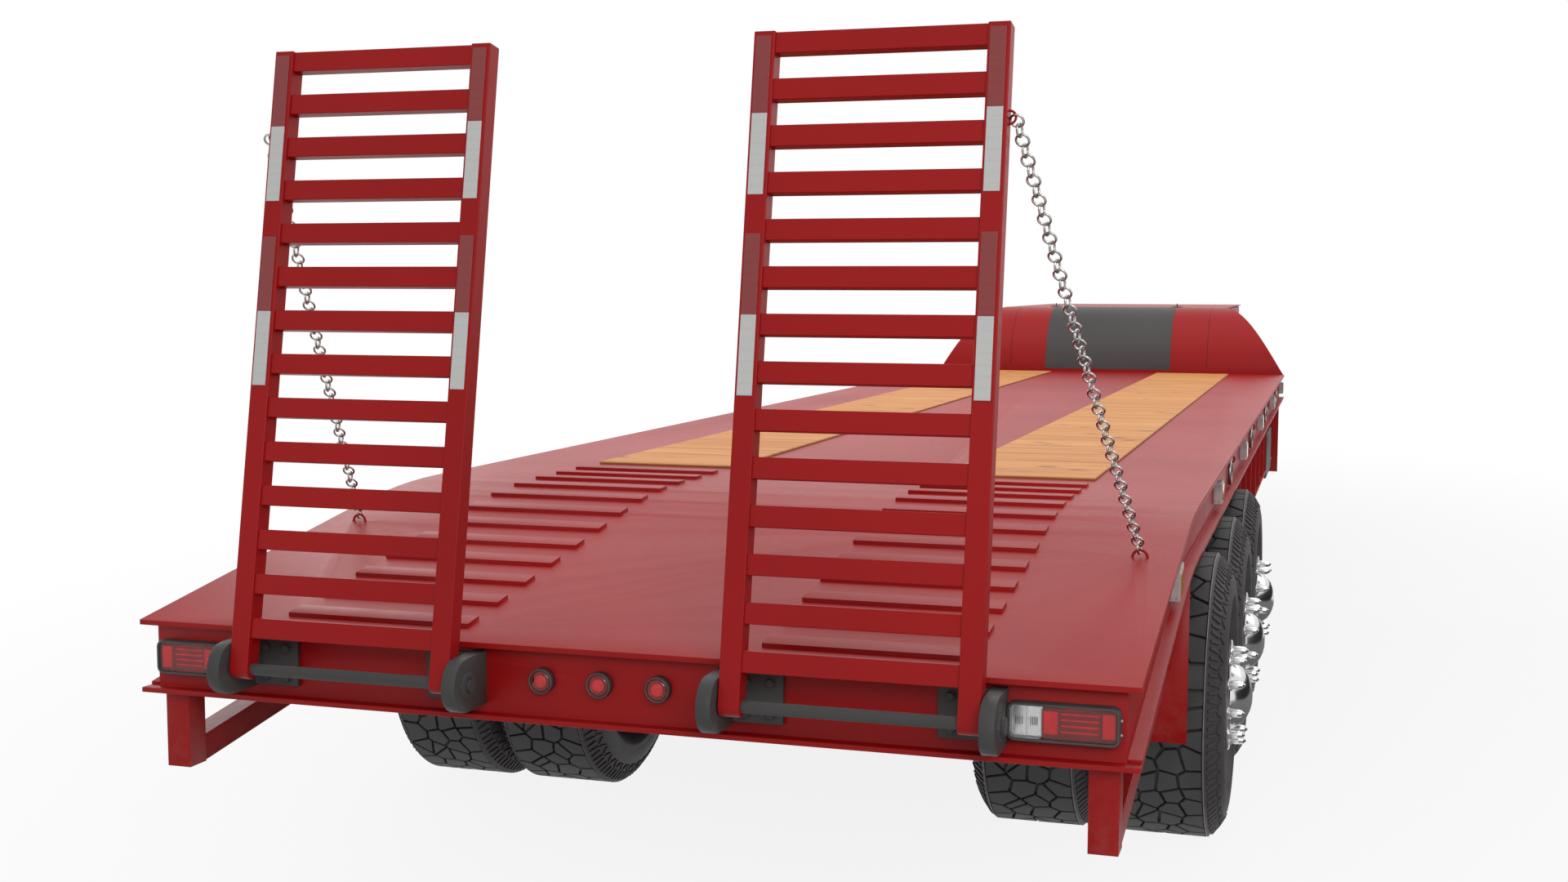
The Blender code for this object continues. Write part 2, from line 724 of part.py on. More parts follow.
def hinge_rods():
    start = ears()["inner"][0] - EAR_BOSS_HEIGHT - CLEARANCE
    end = ears()["outer"][1] + EAR_BOSS_HEIGHT + CLEARANCE
    profile = [
        (0, end + HINGE_ROD_HEAD_LENGTH),
        (HINGE_ROD_HEAD, end + HINGE_ROD_HEAD_LENGTH),
        (HINGE_ROD_HEAD, end),
        (HINGE_ROD_RADIUS, end),
        (HINGE_ROD_RADIUS, start - HINGE_ROD_HEAD_LENGTH),
        (0, start - HINGE_ROD_HEAD_LENGTH),
    ]
    rod = moved(along_x(turned(profile, ROD_SIDES)), Matrix.Translation(HINGE_AXIS))
    pair(smooth(rod), "hinge_rod_{}", "grey_paint")


def ramp_placing():
    return Matrix.Translation(HINGE_AXIS) @ Matrix.Rotation(-math.radians(RAMP_LEAN), 4, "X")


def ramp_eye():
    """Wire centre of a right-hand ramp's chain eye, at its outermost point, in the ramp's own frame."""
    height = RAMP_EYE_HEIGHT - STILE_DEPTH / 2
    return Vector((RAMP_INNER + RAMP_WIDTH + RAMP_EYE_RADIUS, 0, height))


def ramps():
    half = STILE_DEPTH / 2
    top = RAMP_LENGTH - half
    knuckle = arc((0, 0), half, 180, 360, 8)
    side = [(half, top), (-half, top), *knuckle]
    bore = around((0, 0), hole_round(HINGE_ROD_RADIUS))
    outer = RAMP_INNER + RAMP_WIDTH
    pieces = []
    for start in (RAMP_INNER, outer - STILE_WIDTH):
        pieces.append(outline([side, bore], start, start + STILE_WIDTH))
    for i in range(RUNG_COUNT):
        middle = RUNG_FIRST + RUNG_PITCH * i - half
        low = (RAMP_INNER + STILE_WIDTH - FUSE, -RUNG_DEPTH / 2, middle - RUNG_HEIGHT / 2)
        high = (outer - STILE_WIDTH + FUSE, RUNG_DEPTH / 2, middle + RUNG_HEIGHT / 2)
        pieces.append(box(low, high))
    eye = ramp_eye()
    bend = arc((outer, eye.z), RAMP_EYE_RADIUS, -90, 90, 6)
    route = [(outer - FUSE * 2, bend[0][1]), *bend, (outer - FUSE * 2, bend[-1][1])]
    pieces.append(tube([(x, 0, z) for x, z in route], RAMP_EYE_WIRE, resolution=0))
    inner, placings = chain_row()
    first_link = moved(chain_link(inner + CHAIN_WIRE), placings[0])
    ramp = weld([moved(weld(pieces), ramp_placing()), first_link])
    turn = Matrix.Rotation(-math.radians(RAMP_LEAN), 4, "X")
    pair(ramp, "ramp_{}", "red_paint", HINGE_AXIS, turn)


def chain_link(radius):
    """A round link about Z whose wire has three sides and a ridge on the inside."""
    wide = CHAIN_WIRE * math.cos(math.radians(30))
    profile = [
        (radius + CHAIN_WIRE / 2, wide),
        (radius + CHAIN_WIRE / 2, -wide),
        (radius - CHAIN_WIRE, 0),
    ]
    return turned(profile, 6, closed=True)


def chain_row():
    """The links of a right-hand chain from its ramp to the deck, as their inner radius and placings.

    The first link is welded to the ramp's eye, and the second turns on it.
    """
    eye = ramp_placing() @ ramp_eye()
    anchor = Vector((CHAIN_EYE_X, CHAIN_EYE_Y, level(CHAIN_EYE_Y) + CHAIN_EYE_RADIUS))
    ahead = (anchor - eye).normalized()
    wire = ramp_placing().to_3x3() @ Vector((0, 0, 1))
    first_normal = (wire - ahead * wire.dot(ahead)).normalized()
    on_ramp = RAMP_EYE_WIRE / wire.cross(ahead).length - CHAIN_WELD
    # The end links reach past the wires of both eyes, and this sets the inner radius of the links.
    span = (anchor - eye).length + on_ramp + CHAIN_EYE_WIRE + CHAIN_HOOK_SLACK
    inner = (span + CHAIN_LINK_GAP - CHAIN_WELD * (CHAIN_LINKS - 2)) / (2 * CHAIN_LINKS)
    places = [inner - on_ramp, inner * 3 - on_ramp - CHAIN_LINK_GAP]
    for i in range(CHAIN_LINKS - 2):
        places.append(places[-1] + inner * 2 + CHAIN_WELD)
    placings = []
    for i, distance in enumerate(places):
        share = max(0, i - 1) / (CHAIN_LINKS - 2)
        centre = eye + ahead * distance
        centre.z -= CHAIN_SAG * 4 * share * (1 - share)
        tangent = ahead.copy()
        if i > 1:
            tangent.z -= CHAIN_SAG * 4 * (1 - 2 * share) / span
        tangent.normalize()
        normal = first_normal if i % 2 == 0 else ahead.cross(first_normal)
        normal = (normal - tangent * normal.dot(tangent)).normalized()
        frame = Matrix((tangent, normal.cross(tangent), normal)).transposed().to_4x4()
        placings.append(Matrix.Translation(centre) @ frame)
    return inner, placings


def chain_turn():
    """Where the chain turns on its ramp: the far end of the first link's wire."""
    inner, placings = chain_row()
    return placings[0] @ Vector((inner + CHAIN_WIRE, 0, 0))


def chains():
    inner, placings = chain_row()
    rows = ([], [])
    for i, placing in enumerate(placings[1:]):
        rows[i % 2].append(moved(chain_link(inner + CHAIN_WIRE), placing))
    joined = []
    for row in rows:
        shape = bmesh.new()
        for link in row:
            shape.from_mesh(link.data)
            bpy.data.objects.remove(link, do_unlink=True)
        mesh = bpy.data.meshes.new("links")
        shape.to_mesh(mesh)
        shape.free()
        joined.append(add_object(mesh))
    pair(smooth(weld(joined), 60), "chain_{}", "steel", chain_turn())


def stands():
    outer = WEB_INNER - POST_INSET
    inner = outer - POST_SIZE
    front = POST_SETBACK + POST_SIZE
    post = box((inner, POST_SETBACK, POST_FOOT), (outer, front, REAR_FLANGE_BOTTOM - CLEARANCE))
    start = front - FUSE
    end = MUD_PLATE_Y + FUSE
    rise = BRACE_SLOPE * (end - start)
    low = POST_FOOT + FUSE
    side = [(start, low), (end, low + rise), (end, low + rise + BRACE_TALL), (start, low + BRACE_TALL)]
    brace = outline([side], inner + FUSE, outer - FUSE)
    plate_top = level(MUD_PLATE_Y, RAIL_REAR_DEPTH, RAIL_DEPTH) - CLEARANCE
    plate = box(
        (MUD_PLATE_INNER, MUD_PLATE_Y, MUD_PLATE_FOOT),
        (DECK_HALF, MUD_PLATE_Y + MUD_PLATE, plate_top),
    )
    pair(weld([post, brace, plate]), "stand_{}", "red_paint")


def main_beam():
    """Web and flange of the right-hand main beam, deeper ahead of the axles; the deck is its upper flange."""
    start = REAR_WEB_FRONT + CLEARANCE
    rear_depth = RAIL_REAR_DEPTH - RAIL_FLANGE - CLEARANCE
    floor = DECK_HEIGHT - BEAM_DEPTH
    step = [(BEAM_STEP_END, floor), (BED_END, floor)]
    under = line(start, BEAM_STEP_START, (rear_depth, BEAM_AXLE_DEPTH)) + step
    flange_start = REAR_FLANGE_WIDTH + CLEARANCE
    ledge = line(flange_start, BEAM_STEP_START, (rear_depth, BEAM_AXLE_DEPTH)) + step
    over = line(start, BED_END, (BEAM_SEAT, BEAM_SEAT))
    half = BEAM_WEB / 2
    wide = BEAM_FLANGE_WIDTH / 2
    raised = [(y, z + FUSE) for y, z in under]
    web = outline([over + raised[::-1]], BEAM_X - half, BEAM_X + half)
    thick = [(y, z + BEAM_FLANGE) for y, z in ledge]
    foot = outline([ledge + thick[::-1]], BEAM_X - wide, BEAM_X + wide)
    return [web, foot]


def crossmember(y):
    """A rectangular tube across the trailer, whose top follows the deck."""
    low = DECK_SEAT + CROSS_DEPTH
    half = WEB_INNER - CLEARANCE
    return outline([band(y, y + CROSS_WIDTH, (DECK_SEAT, DECK_SEAT), (low, low))], -half, half)


def outrigger(y):
    """A plate from the main beam out to the right-hand lower side beam."""
    under_rail = DECK_HEIGHT - RAIL_DEPTH - CLEARANCE
    top = DECK_HEIGHT - BEAM_SEAT - FUSE
    low = DECK_HEIGHT - BEAM_DEPTH - SIDE_BEAM_PLATE / 2
    edge = SIDE_BEAM_X - FUSE
    inner = WEB_INNER - CLEARANCE * 2
    shape = [(BEAM_X, top), (inner, top), (inner, under_rail), (edge, under_rail), (edge, low), (BEAM_X, low)]
    return outline([shape], y, y + RIB_PLATE, "Y")


def rib(y):
    """A stiffener on the outside of the right-hand lower side beam."""
    inner = SIDE_BEAM_X - SIDE_BEAM_FLANGE + FUSE * 3
    low = DECK_HEIGHT - BEAM_DEPTH - SIDE_BEAM_PLATE / 2
    top = DECK_HEIGHT - RAIL_DEPTH - CLEARANCE
    return box((inner, y, low), (SIDE_BEAM_X - FUSE, y + RIB_PLATE, top))


def side_beam(start, end):
    """Web and bottom flange that join the outer ends of the ribs on the right."""
    low = DECK_HEIGHT - BEAM_DEPTH - SIDE_BEAM_PLATE
    inner = SIDE_BEAM_X - SIDE_BEAM_FLANGE
    under_rail = DECK_HEIGHT - RAIL_DEPTH - CLEARANCE * 2
    flange = box((inner, start, low), (SIDE_BEAM_X, end, low + SIDE_BEAM_PLATE))
    web = box(
        (inner + FUSE, start + FUSE, low + FUSE),
        (inner + FUSE + SIDE_BEAM_PLATE, end - FUSE, under_rail),
    )
    return [flange, web]


def hanger(y):
    """A channel under the right-hand main beam that the ends of two springs slide in."""
    half = HANGER_WIDTH / 2
    inner = half - HANGER_WALL
    top = level(y, RAIL_REAR_DEPTH, BEAM_AXLE_DEPTH) + BEAM_FLANGE / 2
    pad = SPRING_END_TOP + CLEARANCE
    low = pad - HANGER_DROP
    shape = [
        (BEAM_X - half, top),
        (BEAM_X - half, low),
        (BEAM_X - inner, low),
        (BEAM_X - inner, pad),
        (BEAM_X + inner, pad),
        (BEAM_X + inner, low),
        (BEAM_X + half, low),
        (BEAM_X + half, top),
    ]
    return outline([shape], y - HANGER_LENGTH / 2, y + HANGER_LENGTH / 2, "Y")


def axle_places():
    return [AXLE_FIRST + AXLE_PITCH * i for i in range(3)]


def bed_frame():
    box_ends = [TOOLBOX_START - CLEARANCE - RIB_PLATE, TOOLBOX_END + CLEARANCE]
    ribs = row_starts(RIB_FIRST, RIB_PITCH, RIB_PLATE, box_ends[0])
    hangers = [AXLE_FIRST + AXLE_PITCH * (i - 0.5) for i in range(4)]
    bracket_y = LEG_Y - LEG_SIZE / 2 - CLEARANCE
    bracket = box(
        (BEAM_X, bracket_y - LEG_BRACKET, LEG_HOUSING_FOOT + LEG_SIZE / 2),
        (LEG_X + LEG_SIZE / 2, bracket_y, DECK_HEIGHT - BEAM_SEAT),
    )
    right = main_beam() + [bracket]
    right += [outrigger(y) for y in [ribs[0], *box_ends]]
    right += [rib(y) for y in ribs[1:]]
    right += [hanger(y) for y in hangers]
    left = [mirrored(piece) for piece in right]
    front = FRONT_PLATE_Y + FUSE
    right += side_beam(ribs[0] - FUSE, box_ends[0] + RIB_PLATE - FUSE)
    right += side_beam(box_ends[1] + FUSE, front)
    left += [mirrored(piece) for piece in side_beam(ribs[0] - FUSE, front)]
    cross = [crossmember(y) for y in row_starts(CROSS_FIRST, CROSS_PITCH, CROSS_WIDTH, BED_END)]
    plate = box(
        (-DECK_HALF, FRONT_PLATE_Y, FRONT_PLATE_FOOT),
        (DECK_HALF, FRONT_PLATE_Y + FRONT_PLATE, DECK_HEIGHT - RAIL_DEPTH - CLEARANCE),
    )
    part(weld(right + left + cross + [plate]), "bed_frame", "red_paint")


def neck_under(start):
    """Underside of the neck from start to its front end, on top of the coupler plate."""
    seat = COUPLER_TOP + CLEARANCE
    return [
        (start, seat),
        (NECK_FRONT - COUPLER_LEAD, seat),
        (NECK_FRONT - CLEARANCE, seat + COUPLER_LEAD_RISE),
    ]


def neck_frame():
    top = DECK_HEIGHT + NECK_RISE - NECK_COVER - CLEARANCE
    inside = NECK_RISE - NECK_COVER - CLEARANCE
    centre = (NECK_CENTRE_Y, DECK_HEIGHT)
    bend = arc(centre, inside, 90, 180, NECK_ARC_STEPS)
    front = NECK_FRONT - CLEARANCE
    back = BED_END + CLEARANCE
    floor = DECK_HEIGHT - BEAM_DEPTH
    foot = DECK_LENGTH + NECK_COVER
    under = [(back, floor), (foot + NECK_COVER, floor), *neck_under(foot + NECK_SLOPE_RUN)]
    shape = [*under, (front, top), *bend]
    shape += [(bend[-1][0], DECK_HEIGHT - BEAM_SEAT), (back, DECK_HEIGHT - BEAM_SEAT)]
    half = NECK_PLATE / 2
    pieces = [outline([shape], BEAM_X - half, BEAM_X + half)]
    cheek_x = NECK_HALF - NECK_PLATE * 2
    start = NECK_CENTRE_Y + FUSE
    cheek = [(start, top - NECK_COVER), *neck_under(start + NECK_SLOPE_RUN), (front, top - NECK_COVER)]
    pieces.append(outline([cheek], cheek_x, cheek_x + NECK_PLATE))
    pieces += [mirrored(piece) for piece in pieces]
    wide = cheek_x + NECK_PLATE / 2
    low = COUPLER_TOP + COUPLER_LEAD_RISE + FUSE
    rib_y = front - NECK_PLATE - FUSE
    while rib_y > start + NECK_SLOPE_RUN:
        pieces.append(box((-wide, rib_y, low), (wide, rib_y + NECK_PLATE, top - FUSE)))
        rib_y -= NECK_RIB_PITCH
    part(weld(pieces), "neck_frame", "red_paint")


def neck_cover():
    """Bulkhead that rises from the deck, bends over and runs on as the top of the neck."""
    bend = arc((NECK_CENTRE_Y, DECK_HEIGHT), NECK_RISE, 180, 90, NECK_ARC_STEPS)
    side = [(bend[0][0], DECK_HEIGHT - DECK_PLATE), *bend, (NECK_FRONT, DECK_HEIGHT + NECK_RISE)]
    halves = [NECK_BASE_HALF]
    for i in range(NECK_ARC_STEPS + 1):
        halves.append(NECK_BASE_HALF + (NECK_HALF - NECK_BASE_HALF) * i / NECK_ARC_STEPS)
    halves.append(NECK_HALF)
    shape = bmesh.new()
    bmesh.ops.create_grid(shape, x_segments=1, y_segments=len(side) - 1, size=1)
    for vertex in shape.verts:
        step = round((vertex.co.y + 1) / 2 * (len(side) - 1))
        y, z = side[step]
        vertex.co = (math.copysign(halves[step], vertex.co.x), y, z)
    bmesh.ops.recalc_face_normals(shape, faces=shape.faces)
    highest = max(shape.faces, key=lambda face: face.calc_center_median().z)
    if highest.normal.z < 0:
        bmesh.ops.reverse_faces(shape, faces=shape.faces)
    mesh = bpy.data.meshes.new("neck_cover")
    shape.to_mesh(mesh)
    shape.free()
    cover = add_object(mesh)
    shell = cover.modifiers.new("Solidify", "SOLIDIFY")
    shell.thickness = NECK_COVER
    shell.offset = -1
    shell.use_even_offset = True
    part(smooth(bake(cover), 30), "neck_cover", "red_paint")


def coupler_plate():
    low = COUPLER_HEIGHT
    start = COUPLER_START
    lead = NECK_FRONT - COUPLER_LEAD
    shape = [
        (start, low),
        (lead, low),
        (NECK_FRONT, low + COUPLER_LEAD_RISE),
        (NECK_FRONT, low + COUPLER_LEAD_RISE + COUPLER_PLATE),
        (lead, low + COUPLER_PLATE),
        (start, low + COUPLER_PLATE),
    ]
    plate = outline([shape], -COUPLER_HALF, COUPLER_HALF)
    third = KING_PIN_LENGTH / 3
    profile = [
        (0, FUSE),
        (KING_PIN_COLLAR, FUSE),
        (KING_PIN_COLLAR, -third + FUSE * 2),
        (KING_PIN_SHANK, -third),
        (KING_PIN_SHANK, -third * 2),
        (KING_PIN_COLLAR, -third * 2 - FUSE * 2),
        (KING_PIN_COLLAR, -KING_PIN_LENGTH),
        (0, -KING_PIN_LENGTH),
    ]
    pin = moved(turned(profile, KING_PIN_SIDES), Matrix.Translation((0, KING_PIN_Y, low)))
    part(weld([plate, pin]), "coupler_plate", "steel")


def spring():
    """Side outline of a leaf spring about the axle's place: a long upper leaf over shorter ones."""

    def under(y, leaves):
        return SPRING_TOP + SPRING_RISE * (y / SPRING_HALF) ** 2 - LEAF * leaves

    shares = [i / 3 - 1 for i in range(7)]
    upper = [(SPRING_HALF * share, under(SPRING_HALF * share, 0)) for share in shares]
    lower = []
    for number in range(LEAF_COUNT):
        half = SPRING_HALF * (1 - number / LEAF_STEP)
        if number:
            lower.append((half, under(half, number)))
        lower.append((half, under(half, number + 1)))
    middle = [(0, under(0, LEAF_COUNT))]
    return upper + lower + middle + [(-y, z) for y, z in reversed(lower)]


def axle(y, name):
    body = DRUM_INNER_X - FUSE
    profile = [
        (0, SPINDLE_END),
        (SPINDLE_RADIUS, SPINDLE_END),
        (SPINDLE_RADIUS, body),
        (AXLE_RADIUS, body),
        (AXLE_RADIUS, -body),
        (SPINDLE_RADIUS, -body),
        (SPINDLE_RADIUS, -SPINDLE_END),
        (0, -SPINDLE_END),
    ]
    beam = along_x(turned(profile, AXLE_SIDES))
    beam = moved(beam, Matrix.Translation((0, 0, TYRE_RADIUS)))
    half = SPRING_WIDTH / 2
    long = SPRING_SEAT_LENGTH / 2
    right = [outline([spring()], BEAM_X - half, BEAM_X + half)]
    seat_top = TYRE_RADIUS + AXLE_RADIUS + SPRING_SEAT + FUSE
    right.append(box((BEAM_X - half - FUSE, -long, TYRE_RADIUS), (BEAM_X + half + FUSE, long, seat_top)))
    cap = (BEAM_X - half - FUSE, -long, SPRING_TOP - FUSE)
    right.append(box(cap, (BEAM_X + half + FUSE, long, SPRING_TOP + LEAF)))
    left = [mirrored(piece) for piece in right]
    whole = weld([beam, *right, *left])
    part(moved(whole, Matrix.Translation((0, y, 0))), name, "grey_paint", (0, y, TYRE_RADIUS))


def wheel_flat():
    """Turn a piece of many sides so that one of its flats, not a corner, points down."""
    return Matrix.Rotation(math.pi / WHEEL_SIDES, 4, "Z")


def outside(radius):
    """Corner radius of a many-sided wheel whose flats lie at radius."""
    return radius / math.cos(math.pi / WHEEL_SIDES)


def tyre():
    half = RIM_WIDTH / 2
    tread = TYRE_TREAD / 2
    bulge = RIM_RADIUS + (TYRE_RADIUS - RIM_RADIUS) * TYRE_BULGE
    upper = [
        (RIM_RADIUS + CLEARANCE, half),
        (bulge, TYRE_SECTION / 2),
        (TYRE_RADIUS, tread),
    ]
    profile = upper + [(radius, -height) for radius, height in reversed(upper)]
    shape = turned([(outside(radius), height) for radius, height in profile], WHEEL_SIDES, closed=True)
    return along_x(moved(shape, wheel_flat()))


def hub():
    """Rim, drum and hub cover of a right-hand dual wheel, turned as one about the axle."""
    rim_outer = OUTER_TYRE_X + RIM_WIDTH / 2
    rim_inner = OUTER_TYRE_X - DUAL_SPACING - RIM_WIDTH / 2
    bore = SPINDLE_RADIUS + SPINDLE_SLACK
    bore_end = SPINDLE_END + SPINDLE_RADIUS / 2
    profile = [
        (0, DOME_TIP_X),
        (DOME_RADIUS * DOME_SHOULDER, HUB_PLATE_X + DOME_HEIGHT * DOME_SHOULDER_HEIGHT),
        (DOME_RADIUS, HUB_PLATE_X),
        (HUB_PLATE_RADIUS, HUB_PLATE_X),
        (HUB_PLATE_RADIUS, HUB_PLATE_X - HUB_PLATE_EDGE),
        (DRUM_RADIUS, rim_outer - HUB_PLATE_EDGE),
        (RIM_RADIUS, rim_outer),
        (RIM_RADIUS, rim_inner),
        (DRUM_RADIUS, rim_inner),
        (DRUM_RADIUS, DRUM_INNER_X),
        (bore, DRUM_INNER_X),
        (bore, bore_end),
        (0, bore_end),
    ]
    shape = turned([(outside(radius), height) for radius, height in profile], WHEEL_SIDES)
    return along_x(moved(shape, wheel_flat()))


def wheels():
    hub_shape = hub()
    tyre_shape = tyre()
    tyre_rows = {"outer": OUTER_TYRE_X, "inner": OUTER_TYRE_X - DUAL_SPACING}
    for row, y in zip(("rear", "middle", "front"), axle_places()):
        place = Vector((0, y, TYRE_RADIUS))
        axle(y, "axle_" + row)
        wheel = moved(copied(hub_shape), Matrix.Translation(place))
        pair(smooth(wheel), "hub_" + row + "_{}", "chrome", place)
        for side, x in tyre_rows.items():
            shape = moved(copied(tyre_shape), Matrix.Translation(place + Vector((x, 0, 0))))
            pair(smooth(shape), "tyre_" + row + "_{}_" + side, "rubber", place)
    bpy.data.objects.remove(hub_shape)
    bpy.data.objects.remove(tyre_shape)


def square(x, y, half):
    return rectangle(x - half, y - half, x + half, y + half)


def crank_axis():
    return Vector((LEG_X + LEG_SIZE / 2 + GEARBOX_DEPTH, LEG_Y, CRANK_HEIGHT))


def leg_housings():
    top = DECK_HEIGHT - BEAM_SEAT
    half = LEG_SIZE / 2
    inner = half - LEG_WALL
    tube_shape = [square(LEG_X, LEG_Y, half), square(LEG_X, LEG_Y, inner)]
    walls = outline(tube_shape, LEG_HOUSING_FOOT, top, "Z")
    lid = outline([square(LEG_X, LEG_Y, inner + FUSE)], top - LEG_WALL, top - FUSE, "Z")
    housing = weld([walls, lid])
    part(mirrored(housing), "leg_housing_left", "grey_paint")
    face = LEG_X + half
    box_half = GEARBOX_SIZE / 2
    gearbox = outline(
        [square(LEG_Y, CRANK_HEIGHT, box_half), around((LEG_Y, CRANK_HEIGHT), hole_round(CRANK_WIRE))],
        face - FUSE,
        face + GEARBOX_DEPTH,
    )
    part(weld([housing, gearbox]), "leg_housing_right", "grey_paint")


def landing_legs():
    half = LEG_SIZE / 2 - LEG_WALL - LEG_SLACK
    post = outline([square(LEG_X, LEG_Y, half)], FOOT_PLATE + FUSE, LEG_TOP, "Z")
    wide = FOOT_SIZE / 2
    side = [
        (LEG_Y - wide, 0),
        (LEG_Y + wide, 0),
        (LEG_Y + wide, FOOT_PLATE),
        (LEG_Y + half + FOOT_PLATE, FOOT_PLATE + FOOT_NECK),
        (LEG_Y - half - FOOT_PLATE, FOOT_PLATE + FOOT_NECK),
        (LEG_Y - wide, FOOT_PLATE),
    ]
    foot = outline([side], LEG_X - FOOT_WIDTH / 2, LEG_X + FOOT_WIDTH / 2)
    pair(weld([post, foot]), "landing_leg_{}", "grey_paint", (LEG_X, LEG_Y, 0))


def leg_crank():
    axis = crank_axis()
    start = axis - Vector((CRANK_ENTRY, 0, 0))
    elbow = axis + Vector((CRANK_SHAFT, 0, 0))
    wrist = elbow - Vector((0, 0, CRANK_ARM))
    grip = wrist + Vector((CRANK_GRIP, 0, 0))
    bend = CRANK_WIRE * 2
    route = [
        start,
        elbow - Vector((bend, 0, 0)),
        elbow - Vector((0, 0, bend)),
        wrist + Vector((0, 0, bend)),
        wrist + Vector((bend, 0, 0)),
        grip,
    ]
    part(smooth(tube(route, CRANK_WIRE)), "leg_crank", "steel", axis)


def toolbox():
    face = TOOLBOX_OUTER - TOOLBOX_DOOR - CLEARANCE
    low = Vector((TOOLBOX_OUTER - TOOLBOX_REACH, TOOLBOX_START, TOOLBOX_TOP - TOOLBOX_TALL))
    high = Vector((face, TOOLBOX_END, TOOLBOX_TOP))
    wall = Vector((TOOLBOX_WALL, TOOLBOX_WALL, TOOLBOX_WALL))
    hollow = box(low + wall, high - wall + Vector((TOOLBOX_WALL * 2, 0, 0)))
    part(cut(box(low, high), [hollow]), "toolbox", "grey_paint")
    half = TOOLBOX_DOOR / 2
    axis = Vector((TOOLBOX_OUTER - half, TOOLBOX_START, TOOLBOX_TOP - half))
    knuckle = arc((axis.x, axis.z), half, 0, 180, 6)
    shape = [*knuckle, (axis.x - half, low.z), (axis.x + half, low.z)]
    door = outline([shape], TOOLBOX_START, TOOLBOX_END, "Y")
    part(door, "toolbox_door", "grey_paint", axis)


deck_plate()
side_rail()
lashing_rings()
rear_beam()
tail_lamps()
hinge_brackets()
hinge_rods()
ramps()
chains()
stands()
bed_frame()
neck_frame()
neck_cover()
coupler_plate()
wheels()
leg_housings()
landing_legs()
leg_crank()
toolbox()
bpy.context.view_layer.update()
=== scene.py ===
"""Looks of a flat-deck equipment semi-trailer with two ladder ramps held up by chains.

Metres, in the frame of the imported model: +Y forward, +X to the trailer's right, standing on z = 0.
Lengths along the trailer are measured forward from the deck's rear lip.
place() moves them into the frame.
"""

import math
import random

import bmesh
import bpy
from mathutils import Matrix, Vector


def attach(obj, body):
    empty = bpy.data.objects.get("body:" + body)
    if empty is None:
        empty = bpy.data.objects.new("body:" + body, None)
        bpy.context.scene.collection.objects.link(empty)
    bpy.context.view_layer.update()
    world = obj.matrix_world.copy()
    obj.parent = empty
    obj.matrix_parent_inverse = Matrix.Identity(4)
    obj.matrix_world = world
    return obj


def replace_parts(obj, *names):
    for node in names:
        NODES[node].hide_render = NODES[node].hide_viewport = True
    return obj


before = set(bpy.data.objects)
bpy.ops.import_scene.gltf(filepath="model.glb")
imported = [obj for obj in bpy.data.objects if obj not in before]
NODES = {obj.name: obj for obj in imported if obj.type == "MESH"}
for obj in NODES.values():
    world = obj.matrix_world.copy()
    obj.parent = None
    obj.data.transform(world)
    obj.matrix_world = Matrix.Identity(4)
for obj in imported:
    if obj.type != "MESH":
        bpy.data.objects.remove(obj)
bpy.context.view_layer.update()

# Sizes shared with the solids
MIDDLE = 6.03
DECK_HEIGHT = 1.06
DECK_HALF = 1.275
TAIL_LENGTH = 1.33
TAIL_DROP = 0.213
WEB_OUTER = 1.243
BASE_FACE = 0.0177
HINGE_Y = -0.075
HINGE_Z = 0.758
RAMP_LEAN = math.radians(9.86)
RAMP_INNER = 0.339
RAMP_WIDTH = 0.603
RAMP_LENGTH = 1.584
STILE_WIDTH = 0.052
STILE_DEPTH = 0.050
RUNG_COUNT = 14
RUNG_FIRST = 0.127
RUNG_PITCH = 0.110
RUNG_HEIGHT = 0.050
RUNG_DEPTH = 0.038
RAMP_EYE_HEIGHT = 1.37
RAMP_EYE_RADIUS = 0.0155
RAMP_EYE_WIRE = 0.003
CHAIN_EYE_X = 1.17
CHAIN_EYE_Y = 0.908
CHAIN_EYE_RADIUS = 0.020
CHAIN_EYE_WIRE = 0.004
CHAIN_LINKS = 52
CHAIN_WIRE = 0.003
CHAIN_WELD = 0.0008
CHAIN_LINK_GAP = 0.0007
CHAIN_HOOK_SLACK = 0.0016
CHAIN_SAG = 0.012
TYRE_RADIUS = 0.44
OUTER_TYRE_X = 1.1815
INNER_TYRE_X = 0.7975
WHEEL_ROWS = {"rear": 1.79, "middle": 2.69, "front": 3.59}
NECK_RISE = 0.475
NECK_START = 9.5403
NECK_FRONT = 12.2
NECK_BASE_HALF = 1.266
NECK_HALF = 0.815
NECK_COVER = 0.008
NECK_FOOT = 0.008
SIDE_LAMP_COUNT = 6
SIDE_LAMP_FIRST = 0.95
SIDE_LAMP_PITCH = 1.69
SIDE_LAMP_DROP = 0.0505
SIDE_LAMP_HEIGHT = 0.079
SIDES = {"left": -1, "right": 1}

# Sizes and counts of the looks alone
STRIP_WIDTH = 0.037
STRIP_MARGIN = 0.006
TREAD_HALF = 0.1285
TREAD_GROOVE = 0.0075
SHOULDER = [(0.434, 0.1365), (0.398, 0.165), (0.372, 0.180)]
SHOULDER_RIBS = 104
CHEVRONS = 88
TYRE_STAGGER = 0.7
WHEEL_NUTS = 10
BOLT_STEP = 0.060
BOLT_RISE = 0.038
BEND_STEPS = 36
PANEL_HALF = 0.46
SEAM_X = 0.725
VENT_X = 0.46
ROUND_LAMP_PITCH = 0.15
ROUND_LAMP_HEIGHT = 0.76

# Photograph's viewpoint, and the rays that meet the white studio
CAMERA_PLACE = (1.6636, -9.857, 1.714)
CAMERA_YAW = 17.38
CAMERA_PITCH = 5.07
CAMERA_ROLL = 0.10
CAMERA_LENS = 40.84
SEEN_RAYS = ("Is Camera Ray", "Is Glossy Ray", "Is Transmission Ray")

